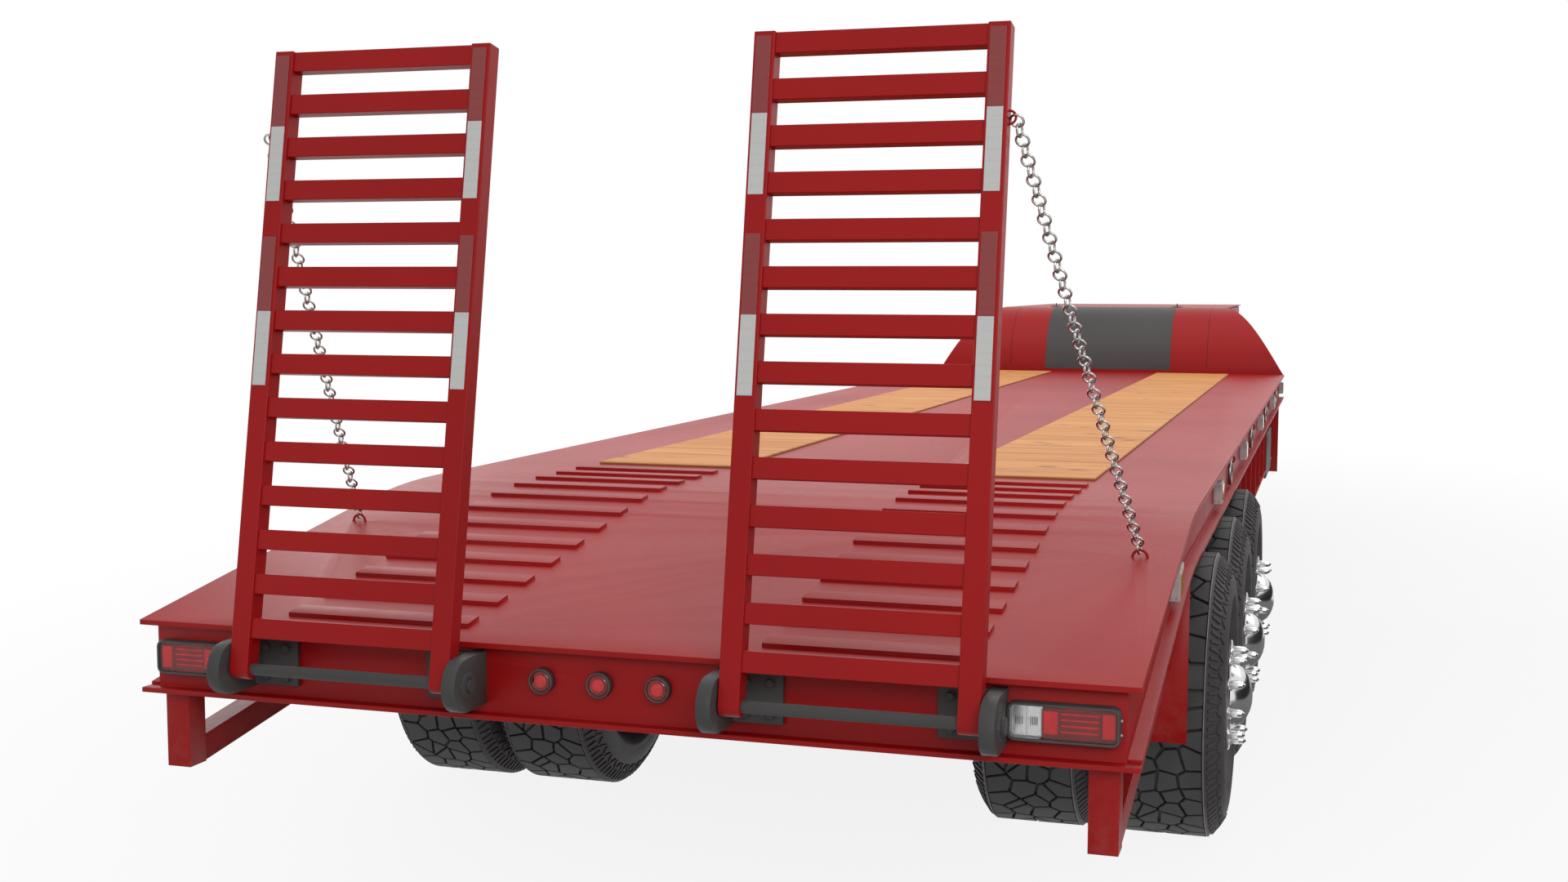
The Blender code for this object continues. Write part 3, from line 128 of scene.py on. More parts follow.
# Colours, linear
RED = (0.350, 0.0055, 0.0060)
RED_DEEP = (0.305, 0.0045, 0.0050)
CHARCOAL = (0.050, 0.048, 0.048)
CHARCOAL_LIGHT = (0.064, 0.062, 0.061)
STEEL = (0.46, 0.45, 0.44)
CHROME = (0.74, 0.74, 0.75)
RUBBER = (0.026, 0.026, 0.026)
RUBBER_WORN = (0.046, 0.045, 0.045)
SIDEWALL = (0.046, 0.040, 0.044)
WOOD = (0.66, 0.270, 0.052)
WOOD_LATE = (0.47, 0.155, 0.026)
WOOD_KNOT = (0.055, 0.030, 0.020)
AMBER = (0.90, 0.30, 0.012)
LENS_RED = (0.95, 0.32, 0.32)


def place(x, y, z):
    """A point given from the rear lip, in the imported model's frame."""
    return Vector((x, y - MIDDLE, z))


class Signal:
    """A socket of a node tree that takes part in sums."""

    def __init__(self, graph, socket):
        self.graph = graph
        self.socket = socket

    def maths(self, operation, *values):
        return self.graph.node("ShaderNodeMath", {"operation": operation}, dict(enumerate(values)))

    def __add__(self, other):
        return self.maths("ADD", self, other)

    def __radd__(self, other):
        return self.maths("ADD", other, self)

    def __sub__(self, other):
        return self.maths("SUBTRACT", self, other)

    def __mul__(self, other):
        return self.maths("MULTIPLY", self, other)


class Graph:
    """A node tree under construction."""

    def __init__(self, tree):
        self.tree = tree

    def node(self, kind, settings=None, sockets=None, outlet=0):
        node = self.tree.nodes.new(kind)
        for name, value in (settings or {}).items():
            setattr(node, name, value)
        for key, value in (sockets or {}).items():
            if isinstance(value, Signal):
                self.tree.links.new(value.socket, node.inputs[key])
            else:
                node.inputs[key].default_value = value
        return Signal(self, node.outputs[outlet])

    def steps(self, value, low, high, bottom=0.0, top=1.0):
        """A smooth step of a value from bottom at low to top at high."""
        settings = {"interpolation_type": "SMOOTHSTEP"}
        return self.node("ShaderNodeMapRange", settings, {0: value, 1: low, 2: high, 3: bottom, 4: top})

    def mix(self, share, first, second):
        """A colour between two others."""
        first = first if isinstance(first, Signal) else (*first, 1.0)
        second = second if isinstance(second, Signal) else (*second, 1.0)
        settings = {"data_type": "RGBA"}
        return self.node("ShaderNodeMix", settings, {0: share, 6: first, 7: second}, outlet=2)

    def scaled(self, vector, scale):
        return self.node("ShaderNodeMapping", None, {"Vector": vector, "Scale": scale})

    def noise(self, vector, scale, detail=2.0, roughness=0.5, distortion=0.0):
        sockets = {"Vector": vector, "Scale": scale, "Detail": detail}
        sockets.update({"Roughness": roughness, "Distortion": distortion})
        return self.node("ShaderNodeTexNoise", None, sockets)

    def cells(self, feature, vector, scale, randomness):
        sockets = {"Vector": vector, "Scale": scale, "Randomness": randomness}
        return self.node("ShaderNodeTexVoronoi", {"feature": feature}, sockets, outlet="Distance")

    def bump(self, height, strength, distance):
        sockets = {"Height": height, "Strength": strength, "Distance": distance}
        return self.node("ShaderNodeBump", None, sockets)

    def axes(self, vector):
        return [self.node("ShaderNodeSeparateXYZ", None, {0: vector}, outlet=i) for i in range(3)]

    def seen(self):
        """One for a ray that looks straight, in a mirror or through a lens, else nought."""
        rays = [self.node("ShaderNodeLightPath", outlet=name) for name in SEEN_RAYS]
        return rays[0].maths("MAXIMUM", rays[0], rays[1].maths("MAXIMUM", rays[1], rays[2]))


class Finish(Graph):
    """A material whose Principled shader is fed from its own node tree."""

    def __init__(self, name):
        self.material = bpy.data.materials.new(name)
        self.material.use_nodes = True
        super().__init__(self.material.node_tree)
        self.shader = self.tree.nodes["Principled BSDF"]
        self.spot = self.node("ShaderNodeTexCoord", outlet="Object")

    def feed(self, **values):
        for name, value in values.items():
            socket = self.shader.inputs[name.replace("_", " ").title().replace("Ior", "IOR")]
            if isinstance(value, Signal):
                self.tree.links.new(value.socket, socket)
            else:
                socket.default_value = (*value, 1.0) if isinstance(value, tuple) else value
        return self.material


def painted(name, light, deep, roughness, dust=0.0):
    """Sprayed two-pack paint: slow change of tone, faint orange peel, a little dust low down."""
    f = Finish(name)
    cloud = f.noise(f.spot, 1.1, 3.0)
    speck = f.noise(f.spot, 34.0, 4.0, 0.6)
    peel = f.noise(f.spot, 260.0, 1.0)
    tone = f.steps(cloud, 0.32, 0.68)
    colour = f.mix(tone, light, deep)
    if dust:
        height = f.axes(f.spot)[2]
        low = f.steps(height, 0.75, 0.25) * f.steps(speck, 0.35, 0.7) * dust
        colour = f.mix(low, colour, (0.20, 0.15, 0.12))
    rough = roughness + (speck - 0.5) * 0.10 + (cloud - 0.5) * 0.08
    normal = f.bump(peel, 0.05, 0.0006)
    return f.feed(base_color=colour, roughness=rough, normal=normal, specular_ior_level=0.20)


def bare_steel(name, shade, roughness, wear):
    f = Finish(name)
    grime = f.noise(f.spot, 60.0, 4.0, 0.65)
    scuff = f.noise(f.scaled(f.spot, (40.0, 40.0, 40.0)), 9.0, 2.0)
    colour = f.mix(f.steps(grime, 0.42, 0.75) * wear, shade, tuple(c * 0.45 for c in shade))
    rough = roughness + (grime - 0.5) * 0.2 + (scuff - 0.5) * 0.1
    normal = f.bump(scuff, 0.06, 0.0004)
    return f.feed(base_color=colour, roughness=rough, metallic=1.0, normal=normal)


def chrome_plate():
    f = Finish("chrome_plate")
    haze = f.noise(f.spot, 18.0, 4.0, 0.6)
    colour = f.mix(f.steps(haze, 0.45, 0.8) * 0.35, CHROME, (0.62, 0.61, 0.60))
    rough = f.steps(haze, 0.35, 0.8, 0.16, 0.24)
    return f.feed(base_color=colour, roughness=rough, metallic=1.0)


def tread_rubber():
    f = Finish("tread_rubber")
    grain = f.noise(f.spot, 190.0, 3.0, 0.6)
    patch = f.noise(f.spot, 9.0, 3.0)
    colour = f.mix(f.steps(patch, 0.35, 0.7), RUBBER, RUBBER_WORN)
    rough = 0.62 + (patch - 0.5) * 0.18 + (grain - 0.5) * 0.1
    normal = f.bump(grain, 0.25, 0.0010)
    return f.feed(base_color=colour, roughness=rough, normal=normal)


def sidewall_rubber():
    f = Finish("sidewall_rubber")
    grain = f.noise(f.spot, 240.0, 3.0, 0.6)
    patch = f.noise(f.spot, 6.0, 3.0)
    dusty = tuple(c * 1.5 for c in SIDEWALL)
    colour = f.mix(f.steps(patch, 0.35, 0.72), SIDEWALL, dusty)
    rough = 0.60 + (patch - 0.5) * 0.15
    normal = f.bump(grain, 0.16, 0.0008)
    return f.feed(base_color=colour, roughness=rough, normal=normal)


def deck_timber():
    """Softwood laid with its grain across the trailer, with late-wood lines, dark knots, and painted shade on
    the faces that do not look up.
    """
    f = Finish("deck_timber")
    bent = f.noise(f.scaled(f.spot, (1.5, 4.0, 1.0)), 2.0, 2.0)
    x, y, z = f.axes(f.spot)
    wavy = y + (bent - 0.5) * 0.05
    lined = f.node("ShaderNodeCombineXYZ", None, {0: x * 0.9, 1: wavy * 26.0, 2: z})
    fine = f.node("ShaderNodeCombineXYZ", None, {0: x * 5.0, 1: wavy * 190.0, 2: z})
    rings = f.noise(lined, 1.0, 4.0, 0.62, 0.3)
    fibre = f.noise(fine, 1.0, 3.0, 0.6)
    tone = f.noise(f.scaled(f.spot, (0.7, 2.2, 1.0)), 1.6, 2.0)
    colour = f.mix(f.steps(rings, 0.44, 0.66), WOOD, WOOD_LATE)
    colour = f.mix(f.steps(fibre, 0.45, 0.75) * 0.35, colour, tuple(c * 0.62 for c in WOOD))
    colour = f.mix(f.steps(tone, 0.50, 0.75) * 0.30, colour, (0.80, 0.42, 0.14))
    knots = f.cells("F1", f.scaled(f.spot, (3.6, 7.4, 3.0)), 1.0, 1.0)
    flow = f.noise(f.scaled(f.spot, (16.0, 50.0, 1.0)), 1.0, 3.0)
    knot = f.steps(knots + (flow - 0.5) * 0.13, 0.17, 0.07)
    halo = f.steps(knots + (flow - 0.5) * 0.16, 0.30, 0.12)
    colour = f.mix(halo * 0.45, colour, WOOD_LATE)
    colour = f.mix(knot * 0.82, colour, WOOD_KNOT)
    # Painted shade: faces that do not look up are mixed towards dark brown by their normal, standing in for
    # the shade on the timbers' sides.
    facing = f.node("ShaderNodeNewGeometry", outlet="Normal")
    edge = f.steps(f.axes(facing)[2], 0.85, 0.45)
    colour = f.mix(edge * 0.75, colour, (0.19, 0.075, 0.030))
    rough = 0.58 + (rings - 0.5) * 0.2
    normal = f.bump(fibre * 0.6 + rings * 0.6, 0.22, 0.0012)
    return f.feed(base_color=colour, roughness=rough, normal=normal)


def reflector(name, shade, dim):
    """Retro-reflective strip: a honeycomb of tiny cells under a clear face."""
    f = Finish(name)
    cells = f.cells("DISTANCE_TO_EDGE", f.spot, 230.0, 0.15)
    lines = f.steps(cells, 0.03, 0.10)
    sheen = f.noise(f.spot, 26.0, 2.0)
    colour = f.mix(lines, dim, shade)
    colour = f.mix(f.steps(sheen, 0.4, 0.7) * 0.25, colour, dim)
    return f.feed(base_color=colour, roughness=0.30, normal=f.bump(lines, 0.10, 0.0004), coat_weight=0.3)


def lens_plastic(name, shade, clear):
    """Moulded lamp lens: tinted, with a little haze."""
    f = Finish(name)
    haze = f.noise(f.spot, 90.0, 2.0)
    rough = 0.06 + (haze - 0.5) * 0.05
    colour = f.mix(f.steps(haze, 0.3, 0.8) * 0.2, shade, tuple(c * 0.8 for c in shade))
    return f.feed(base_color=colour, roughness=rough, transmission_weight=clear, ior=1.45)


def moulded(name, shade, roughness):
    """Black or grey moulded rubber and plastic with a fine grain."""
    f = Finish(name)
    grain = f.noise(f.spot, 420.0, 2.0)
    patch = f.noise(f.spot, 22.0, 3.0)
    colour = f.mix(f.steps(patch, 0.35, 0.7), shade, tuple(c * 1.35 for c in shade))
    rough = roughness + (patch - 0.5) * 0.12
    return f.feed(base_color=colour, roughness=rough, normal=f.bump(grain, 0.12, 0.0005))


RED_PAINT = painted("red_paint_satin", RED, RED_DEEP, 0.40, dust=0.25)
GREY_PAINT = painted("grey_paint_satin", CHARCOAL, CHARCOAL_LIGHT, 0.50)
PANEL_PAINT = painted("panel_paint", (0.058, 0.056, 0.055), (0.070, 0.067, 0.066), 0.46)
CHAIN_STEEL = bare_steel("chain_steel", STEEL, 0.22, 0.7)
WORN_STEEL = bare_steel("worn_steel", (0.42, 0.41, 0.40), 0.38, 0.9)
CHROME_PLATE = chrome_plate()
TREAD = tread_rubber()
SIDEWALL_RUBBER = sidewall_rubber()
TIMBER = deck_timber()
WHITE_STRIP = reflector("white_strip", (0.55, 0.55, 0.54), (0.50, 0.50, 0.495))
RED_STRIP = reflector("red_strip", (0.235, 0.014, 0.014), (0.200, 0.011, 0.011))
RED_LENS = lens_plastic("red_lens", LENS_RED, 1.0)
CLEAR_LENS = lens_plastic("clear_lens", (0.93, 0.93, 0.93), 0.95)
# Dark red of the seam beads on the bulkhead's bend: painted shade of the seams' grooves.
SEAM_SHADE_PAINT = painted("seam_painted_shade", (0.11, 0.006, 0.007), (0.10, 0.005, 0.006), 0.5)
RED_REFLEX = moulded("red_reflex", (0.56, 0.012, 0.014), 0.18)
RED_BACK = moulded("red_back", (0.17, 0.010, 0.012), 0.25)
# Pale grey of the painted highlight, drawn as a thin line round each tyre shoulder's edge.
TREAD_EDGE_HIGHLIGHT = moulded("tread_edge_painted_highlight", (0.30, 0.28, 0.31), 0.5)
AMBER_LENS = lens_plastic("amber_lens", AMBER, 0.35)
LAMP_RUBBER = moulded("lamp_rubber", (0.040, 0.038, 0.037), 0.55)
LAMP_CASE = moulded("lamp_case", (0.34, 0.31, 0.31), 0.32)
REFLECTOR_BOWL = bare_steel("lamp_bowl", (0.72, 0.72, 0.72), 0.22, 0.2)


def linked(name, data):
    """A new object of the scene."""
    obj = bpy.data.objects.new(name, data)
    bpy.context.scene.collection.objects.link(obj)
    return obj


def add_piece(name, mesh, body, material=None):
    """Show a finished mesh as a piece that rides on a body of the model."""
    mesh.name = name
    piece = linked(name, mesh)
    if material:
        coated(mesh, material)
    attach(piece, body)
    return piece


def to_mesh(shape, smooth=True):
    mesh = bpy.data.meshes.new("shape")
    shape.to_mesh(mesh)
    shape.free()
    if smooth:
        mesh.shade_smooth()
    return mesh


def evaluated(obj):
    """The object's mesh with its modifiers applied; the object itself is removed."""
    bpy.context.view_layer.update()
    graph = bpy.context.evaluated_depsgraph_get()
    mesh = bpy.data.meshes.new_from_object(obj.evaluated_get(graph))
    mesh.transform(obj.matrix_world)
    bpy.data.objects.remove(obj, do_unlink=True)
    return mesh


def closed(shape, sharp=None):
    """A mesh with its faces turned outwards, and sharp where faces meet at more than an angle."""
    bmesh.ops.recalc_face_normals(shape, faces=shape.faces)
    mesh = to_mesh(shape)
    if sharp:
        mesh.set_sharp_from_angle(angle=math.radians(sharp))
    return mesh


def bridge(shape, rings):
    """Faces between neighbouring rings, each closed on itself or a single point."""
    for near, far in zip(rings, rings[1:]):
        steps = max(len(near), len(far))
        for i in range(steps):
            j = (i + 1) % steps
            spots = ((near, i), (near, j), (far, j), (far, i))
            corners = dict.fromkeys(ring[k % len(ring)] for ring, k in spots)
            if len(corners) > 2:
                shape.faces.new(list(corners))


def prism(near, far):
    """A solid between two outlines of equally many points."""
    shape = bmesh.new()
    rings = [[shape.verts.new(spot) for spot in outline] for outline in (near, far)]
    for ring in rings:
        shape.faces.new(ring)
    bridge(shape, rings)
    return closed(shape)


def arc(radius, start, sweep, steps):
    """Points about the origin, from a starting angle through a sweep."""
    turns = [start + sweep * i / steps for i in range(steps + 1)]
    return [(radius * math.cos(turn), radius * math.sin(turn)) for turn in turns]


def circle(radius, steps, start=0.0):
    return arc(radius, start, 2 * math.pi, steps)[:-1]


def rolled(mesh, width, angle=35):
    """The mesh with its edges rolled over, as folded and ground steel has them."""
    obj = linked("loose", mesh)
    mesh.shade_smooth()
    bevel = obj.modifiers.new("Bevel", "BEVEL")
    bevel.width = width
    bevel.segments = 2
    bevel.limit_method = "ANGLE"
    bevel.angle_limit = math.radians(angle)
    bevel.harden_normals = True
    return evaluated(obj)


def joined(meshes):
    """Several meshes as one, each keeping its own materials."""
    materials = []
    shape = bmesh.new()
    for mesh in meshes:
        known = []
        for material in mesh.materials:
            if material not in materials:
                materials.append(material)
            known.append(materials.index(material))
        start = len(shape.faces)
        shape.from_mesh(mesh)
        shape.faces.ensure_lookup_table()
        for face in shape.faces[start:]:
            face.material_index = known[face.material_index] if known else 0
        bpy.data.meshes.remove(mesh)
    result = bpy.data.meshes.new("joined")
    shape.to_mesh(result)
    shape.free()
    for material in materials:
        result.materials.append(material)
    return result


def coated(mesh, material):
    mesh.materials.clear()
    mesh.materials.append(material)
    return mesh


def block(low, high):
    shape = bmesh.new()
    bmesh.ops.create_cube(shape, size=1)
    low = Vector(low)
    high = Vector(high)
    bmesh.ops.scale(shape, verts=shape.verts, vec=high - low)
    bmesh.ops.translate(shape, verts=shape.verts, vec=(low + high) / 2)
    return to_mesh(shape, smooth=False)


def lathe(profile, steps, close=False, sharp=None):
    """A profile of (radius, along) turned about X; a place on the axis becomes a single point."""
    shape = bmesh.new()
    rings = []
    for radius, along in profile:
        spots = circle(radius, steps if radius else 1)
        rings.append([shape.verts.new((along, *spot)) for spot in spots])
    bridge(shape, rings + rings[:1] if close else rings)
    return closed(shape, sharp)


def tube_mesh(points, radius, cyclic=False, sides=8):
    curve = bpy.data.curves.new("tube", "CURVE")
    curve.dimensions = "3D"
    curve.bevel_depth = radius
    curve.bevel_resolution = max(0, sides // 4 - 1)
    curve.use_fill_caps = not cyclic
    spline = curve.splines.new("POLY")
    spline.points.add(len(points) - 1)
    spline.use_cyclic_u = cyclic
    for point, spot in zip(spline.points, points):
        point.co = (*spot, 1)
    mesh = evaluated(linked("loose", curve))
    mesh.shade_smooth()
    return mesh


def shifted(mesh, matrix):
    mesh.transform(matrix)
    return mesh


def handed(mesh, way):
    """A copy for the trailer's right, or a mirrored one for its left."""
    twin = mesh.copy()
    if way < 0:
        twin.transform(Matrix.Scale(-1, 4, (1, 0, 0)))
        twin.flip_normals()
    return twin


def plain_copy(node):
    """A copy of a solid's mesh with its loose triangles joined and its flat faces merged."""
    shape = bmesh.new()
    shape.from_mesh(NODES[node].data)
    bmesh.ops.remove_doubles(shape, verts=shape.verts, dist=0.00002)
    bmesh.ops.dissolve_limit(shape, angle_limit=0.004, verts=shape.verts, edges=shape.edges)
    return to_mesh(shape)


def repeat(name, placings, build, sizes, material):
    """Copies of one small shape, built from named sizes, on a list of placings, as one plain mesh."""
    mesh = bpy.data.meshes.new(name)
    mesh.from_pydata([m.to_translation() for m in placings], [], [])
    turns = mesh.attributes.new("turn", "FLOAT_VECTOR", "POINT")
    for spot, matrix in zip(turns.data, placings):
        spot.vector = tuple(matrix.to_euler())
    tree = bpy.data.node_groups.new(name, "GeometryNodeTree")
    tree.interface.new_socket("Points", in_out="INPUT", socket_type="NodeSocketGeometry")
    handles = {}
    for label, value in sizes.items():
        kind = "NodeSocketInt" if isinstance(value, int) else "NodeSocketFloat"
        socket = tree.interface.new_socket(label, in_out="INPUT", socket_type=kind)
        socket.default_value = value
        handles[label] = socket.identifier
    tree.interface.new_socket("Shape", in_out="OUTPUT", socket_type="NodeSocketGeometry")
    g = Graph(tree)
    inlet = tree.nodes.new("NodeGroupInput")
    inputs = {socket.name: Signal(g, socket) for socket in inlet.outputs if socket.name}
    shape = build(g, inputs)
    turn = g.node("GeometryNodeInputNamedAttribute", {"data_type": "FLOAT_VECTOR"}, {"Name": "turn"})
    rotation = g.node("FunctionNodeEulerToRotation", None, {0: turn})
    sockets = {"Points": inputs["Points"], "Instance": shape, "Rotation": rotation}
    placed = g.node("GeometryNodeInstanceOnPoints", None, sockets)
    solid = g.node("GeometryNodeRealizeInstances", None, {0: placed})
    painted_shape = g.node("GeometryNodeSetMaterial", None, {"Geometry": solid, "Material": material})
    outlet = tree.nodes.new("NodeGroupOutput")
    tree.links.new(painted_shape.socket, outlet.inputs[0])
    obj = linked("loose", mesh)
    modifier = obj.modifiers.new(name, "NODES")
    modifier.node_group = tree
    for label, value in sizes.items():
        modifier[handles[label]] = value
    return coated(evaluated(obj), material)


def join_shapes(g, shapes):
    node = g.tree.nodes.new("GeometryNodeJoinGeometry")
    for shape in shapes:
        g.tree.links.new(shape.socket, node.inputs[0])
    return Signal(g, node.outputs[0])


def lifted(g, shape, height):
    offset = g.node("ShaderNodeCombineXYZ", None, {2: height})
    return g.node("GeometryNodeTransform", None, {"Geometry": shape, "Translation": offset})


def cylinder(g, sides, radius, height):
    sockets = {"Vertices": sides, "Radius": radius, "Depth": height}
    return g.node("GeometryNodeMeshCylinder", None, sockets)


def cone(g, sides, bottom, top, height):
    sockets = {"Vertices": sides, "Radius Bottom": bottom, "Radius Top": top, "Depth": height}
    return g.node("GeometryNodeMeshCone", None, sockets)


def bolt_shape(g, size):
    """Hexagon head on a washer, standing on z = 0."""
    thick = size["Washer height"]
    radius = size["Head radius"]
    height = size["Head height"]
    washer = lifted(g, cylinder(g, 20, size["Washer radius"], thick), thick * 0.5)
    head = lifted(g, cylinder(g, 6, radius, height), thick + height * 0.5)
    crown = lifted(g, cone(g, 6, radius, radius * 0.8, height * 0.25), thick + height)
    return join_shapes(g, [washer, head, crown])


def wheel_nut_shape(g, size):
    """Bullet-shaped chrome nut cover with a flange and a groove, standing on z = 0."""
    radius = size["Radius"]
    height = size["Height"]
    flange = lifted(g, cylinder(g, 20, radius * 1.3, height * 0.10), height * 0.05)
    body = lifted(g, cylinder(g, 16, radius, height * 0.42), height * 0.29)
    groove = lifted(g, cylinder(g, 16, radius * 0.88, height * 0.08), height * 0.53)
    shoulder = lifted(g, cone(g, 16, radius, radius * 0.78, height * 0.25), height * 0.57)
    tip = lifted(g, cone(g, 16, radius * 0.78, radius * 0.2, height * 0.18), height * 0.82)
    return join_shapes(g, [flange, body, groove, shoulder, tip])


def link_shape(g, size):
    """Round chain link about z."""
    ring = g.node("GeometryNodeCurvePrimitiveCircle", None, {"Resolution": 28, "Radius": size["Radius"]})
    wire = g.node("GeometryNodeCurvePrimitiveCircle", None, {"Resolution": 10, "Radius": size["Wire"]})
    return g.node("GeometryNodeCurveToMesh", None, {"Curve": ring, "Profile Curve": wire})


def rib_shape(g, size):
    """Small bar along y, lying on z = 0."""
    bar = g.node("ShaderNodeCombineXYZ", None, {0: size["Width"], 1: size["Length"], 2: size["Height"]})
    return g.node("GeometryNodeMeshCube", None, {"Size": bar})


def camera_and_light():
    data = bpy.data.cameras.new("photo_camera")
    data.lens = CAMERA_LENS
    data.sensor_width = 36.0
    data.clip_end = 200.0
    camera = linked("photo_camera", data)
    yaw = Matrix.Rotation(math.radians(CAMERA_YAW), 4, "Z")
    pitch = Matrix.Rotation(math.radians(90 - CAMERA_PITCH), 4, "X")
    roll = Matrix.Rotation(math.radians(CAMERA_ROLL), 4, "Z")
    camera.matrix_world = Matrix.Translation(CAMERA_PLACE) @ yaw @ pitch @ roll
    bpy.context.scene.camera = camera
    world = bpy.data.worlds.new("studio")
    bpy.context.scene.world = world
    world.use_nodes = True
    g = Graph(world.node_tree)
    world.node_tree.nodes.clear()
    seen = g.seen()
    white = g.node("ShaderNodeBackground", None, {"Color": (1, 1, 1, 1), "Strength": 1.0})
    soft = g.node("ShaderNodeBackground", None, {"Color": (1, 1, 1, 1), "Strength": 0.55})
    shown = g.node("ShaderNodeMixShader", None, {0: seen, 1: soft, 2: white})
    out = world.node_tree.nodes.new("ShaderNodeOutputWorld")
    world.node_tree.links.new(shown.socket, out.inputs[0])
    add_lamp("overhead", (1.0, 0.5, 8.0), (0.0, 0.0, 1.0), (9.0, 16.0), 430.0)
    add_lamp("from_camera", (6.0, -15.0, 6.5), (0.0, -2.0, 1.0), (7.0, 5.0), 530.0)
    add_lamp("far_side", (-10.0, 2.0, 5.0), (0.0, 0.0, 0.8), (12.0, 4.0), 200.0)


def add_lamp(name, spot, target, size, power):
    data = bpy.data.lights.new(name, "AREA")
    data.shape = "RECTANGLE"
    data.size = size[0]
    data.size_y = size[1]
    data.energy = power
    lamp = linked(name, data)
    direction = Vector(target) - Vector(spot)
    turn = direction.to_track_quat("-Z", "Y").to_matrix().to_4x4()
    lamp.matrix_world = Matrix.Translation(spot) @ turn


def studio_floor():
    """Pale floor that runs into the white of the studio away from the trailer."""
    shape = bmesh.new()
    bmesh.ops.create_grid(shape, x_segments=1, y_segments=1, size=90)
    floor = linked("studio_floor", to_mesh(shape, smooth=False))
    f = Finish("studio_floor")
    grain = f.noise(f.spot, 3.0, 3.0)
    colour = f.mix(grain, (0.46, 0.46, 0.46), (0.50, 0.50, 0.50))
    floor.data.materials.append(f.feed(base_color=colour, roughness=0.9))
    x, y = f.axes(f.spot)[:2]
    squared = x * x + y * y * 0.3
    distance = squared.maths("SQRT", squared)
    share = f.steps(distance, 1.5, 6.0, 0.86, 1.0) * f.seen()
    white = f.node("ShaderNodeEmission", None, {"Color": (1, 1, 1, 1), "Strength": 1.0})
    lit = Signal(f, f.shader.outputs[0])
    shown = f.node("ShaderNodeMixShader", None, {0: share, 1: lit, 2: white})
    f.tree.links.new(shown.socket, f.tree.nodes["Material Output"].inputs[0])


def dark_flags():
    """Low dark screen and grey mat beside the trailer, seen only in polished metal."""
    work = {
        "screen": (block((4.2, -6.0, 0.0), (4.22, 14.0, 1.5)), (0.012, 0.012, 0.012)),
        "mat": (block((1.50, -6.0, 0.001), (4.2, -0.2, 0.003)), (0.16, 0.16, 0.16)),
    }
    for name, (mesh, shade) in work.items():
        finish = moulded("studio_" + name, shade, 0.9)
        flag = linked("studio_" + name, coated(mesh, finish))
        flag.visible_camera = False
        flag.visible_diffuse = False
        flag.visible_shadow = False


def dress_solids():
    """Give every solid that stays in sight its finish."""
    for name, node in NODES.items():
        finish = RED_PAINT
        if name.startswith(("hinge_", "axle", "lashing_ring", "leg_housing", "landing_leg", "toolbox")):
            finish = GREY_PAINT
        elif name.startswith("timber"):
            finish = TIMBER
        elif name.startswith(("coupler", "leg_crank")):
            finish = WORN_STEEL
        elif name.startswith("chain"):
            finish = CHAIN_STEEL
        node.data.materials.clear()
        node.data.materials.append(finish)


def roll_solid(name, body, finish, width):
    piece = add_piece(name + ".rolled", rolled(plain_copy(name), width), body, finish)
    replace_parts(piece, name)


def rolled_solids():
    """Plate and bar work whose edges are rounded by grinding and thick paint."""
    for name in ("deck_plate", "rear_beam", "side_rail_left", "side_rail_right"):
        roll_solid(name, "chassis", RED_PAINT, 0.0020)
    for side in SIDES:
        roll_solid("stand_" + side, "chassis", RED_PAINT, 0.0030)
    roll_solid("toolbox_door", "toolbox_door", GREY_PAINT, 0.0025)
    for name in NODES:
        if name.startswith("hinge_bracket"):
            roll_solid(name, "chassis", GREY_PAINT, 0.0035)


def ramp_frame():
    """From the right-hand ramp's own frame, upright on its hinge, to the model's frame."""
    lean = Matrix.Rotation(-RAMP_LEAN, 4, "X")
    return Matrix.Translation(place(0, HINGE_Y, HINGE_Z)) @ lean


def ramps():
    half = STILE_DEPTH / 2
    outer = RAMP_INNER + RAMP_WIDTH
    stile_starts = (RAMP_INNER, outer - STILE_WIDTH)
    bars = [stile(start, RAMP_LENGTH - half) for start in stile_starts]
    overlap = 0.002
    for i in range(RUNG_COUNT):
        middle = RUNG_FIRST + RUNG_PITCH * i - half
        low = (RAMP_INNER + STILE_WIDTH - overlap, -RUNG_DEPTH / 2, middle - RUNG_HEIGHT / 2)
        high = (outer - STILE_WIDTH + overlap, RUNG_DEPTH / 2, middle + RUNG_HEIGHT / 2)
        bars.append(rolled(block(low, high), 0.0025))
    eye = RAMP_EYE_HEIGHT - half
    root = outer - 0.004
    arch = [(root, 0, eye - RAMP_EYE_RADIUS)]
    for across, up in arc(RAMP_EYE_RADIUS, -math.pi / 2, math.pi, 16):
        arch.append((outer + across, 0, eye + up))
    arch.append((root, 0, eye + RAMP_EYE_RADIUS))
    bars.append(tube_mesh(arch, RAMP_EYE_WIRE, sides=12))
    work = shifted(joined(bars), ramp_frame())
    strips = {"white": [(1.198, 1.389), (0.731, 0.918)], "red": [(1.389, 1.572), (0.918, 1.107)]}
    for side, way in SIDES.items():
        body = "ramp_" + side
        piece = add_piece(body + ".frame", handed(work, way), body, RED_PAINT)
        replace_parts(piece, body)
        for colour, spans in strips.items():
            plates = []
            for start in stile_starts:
                for low, high in spans:
                    plates.append(reflector_strip(way, start, low - half, high - half))
            finish = WHITE_STRIP if colour == "white" else RED_STRIP
            add_piece(body + ".reflectors_" + colour, joined(plates), body, finish)


def stile(start, top):
    """Square bar with a round lower end about the hinge rod."""
    half = STILE_DEPTH / 2
    loop = [(half, top), (-half, top), *arc(half, math.pi, math.pi, 16)]
    ends = [[(x, y, z) for y, z in loop] for x in (start, start + STILE_WIDTH)]
    return rolled(prism(*ends), 0.0028)


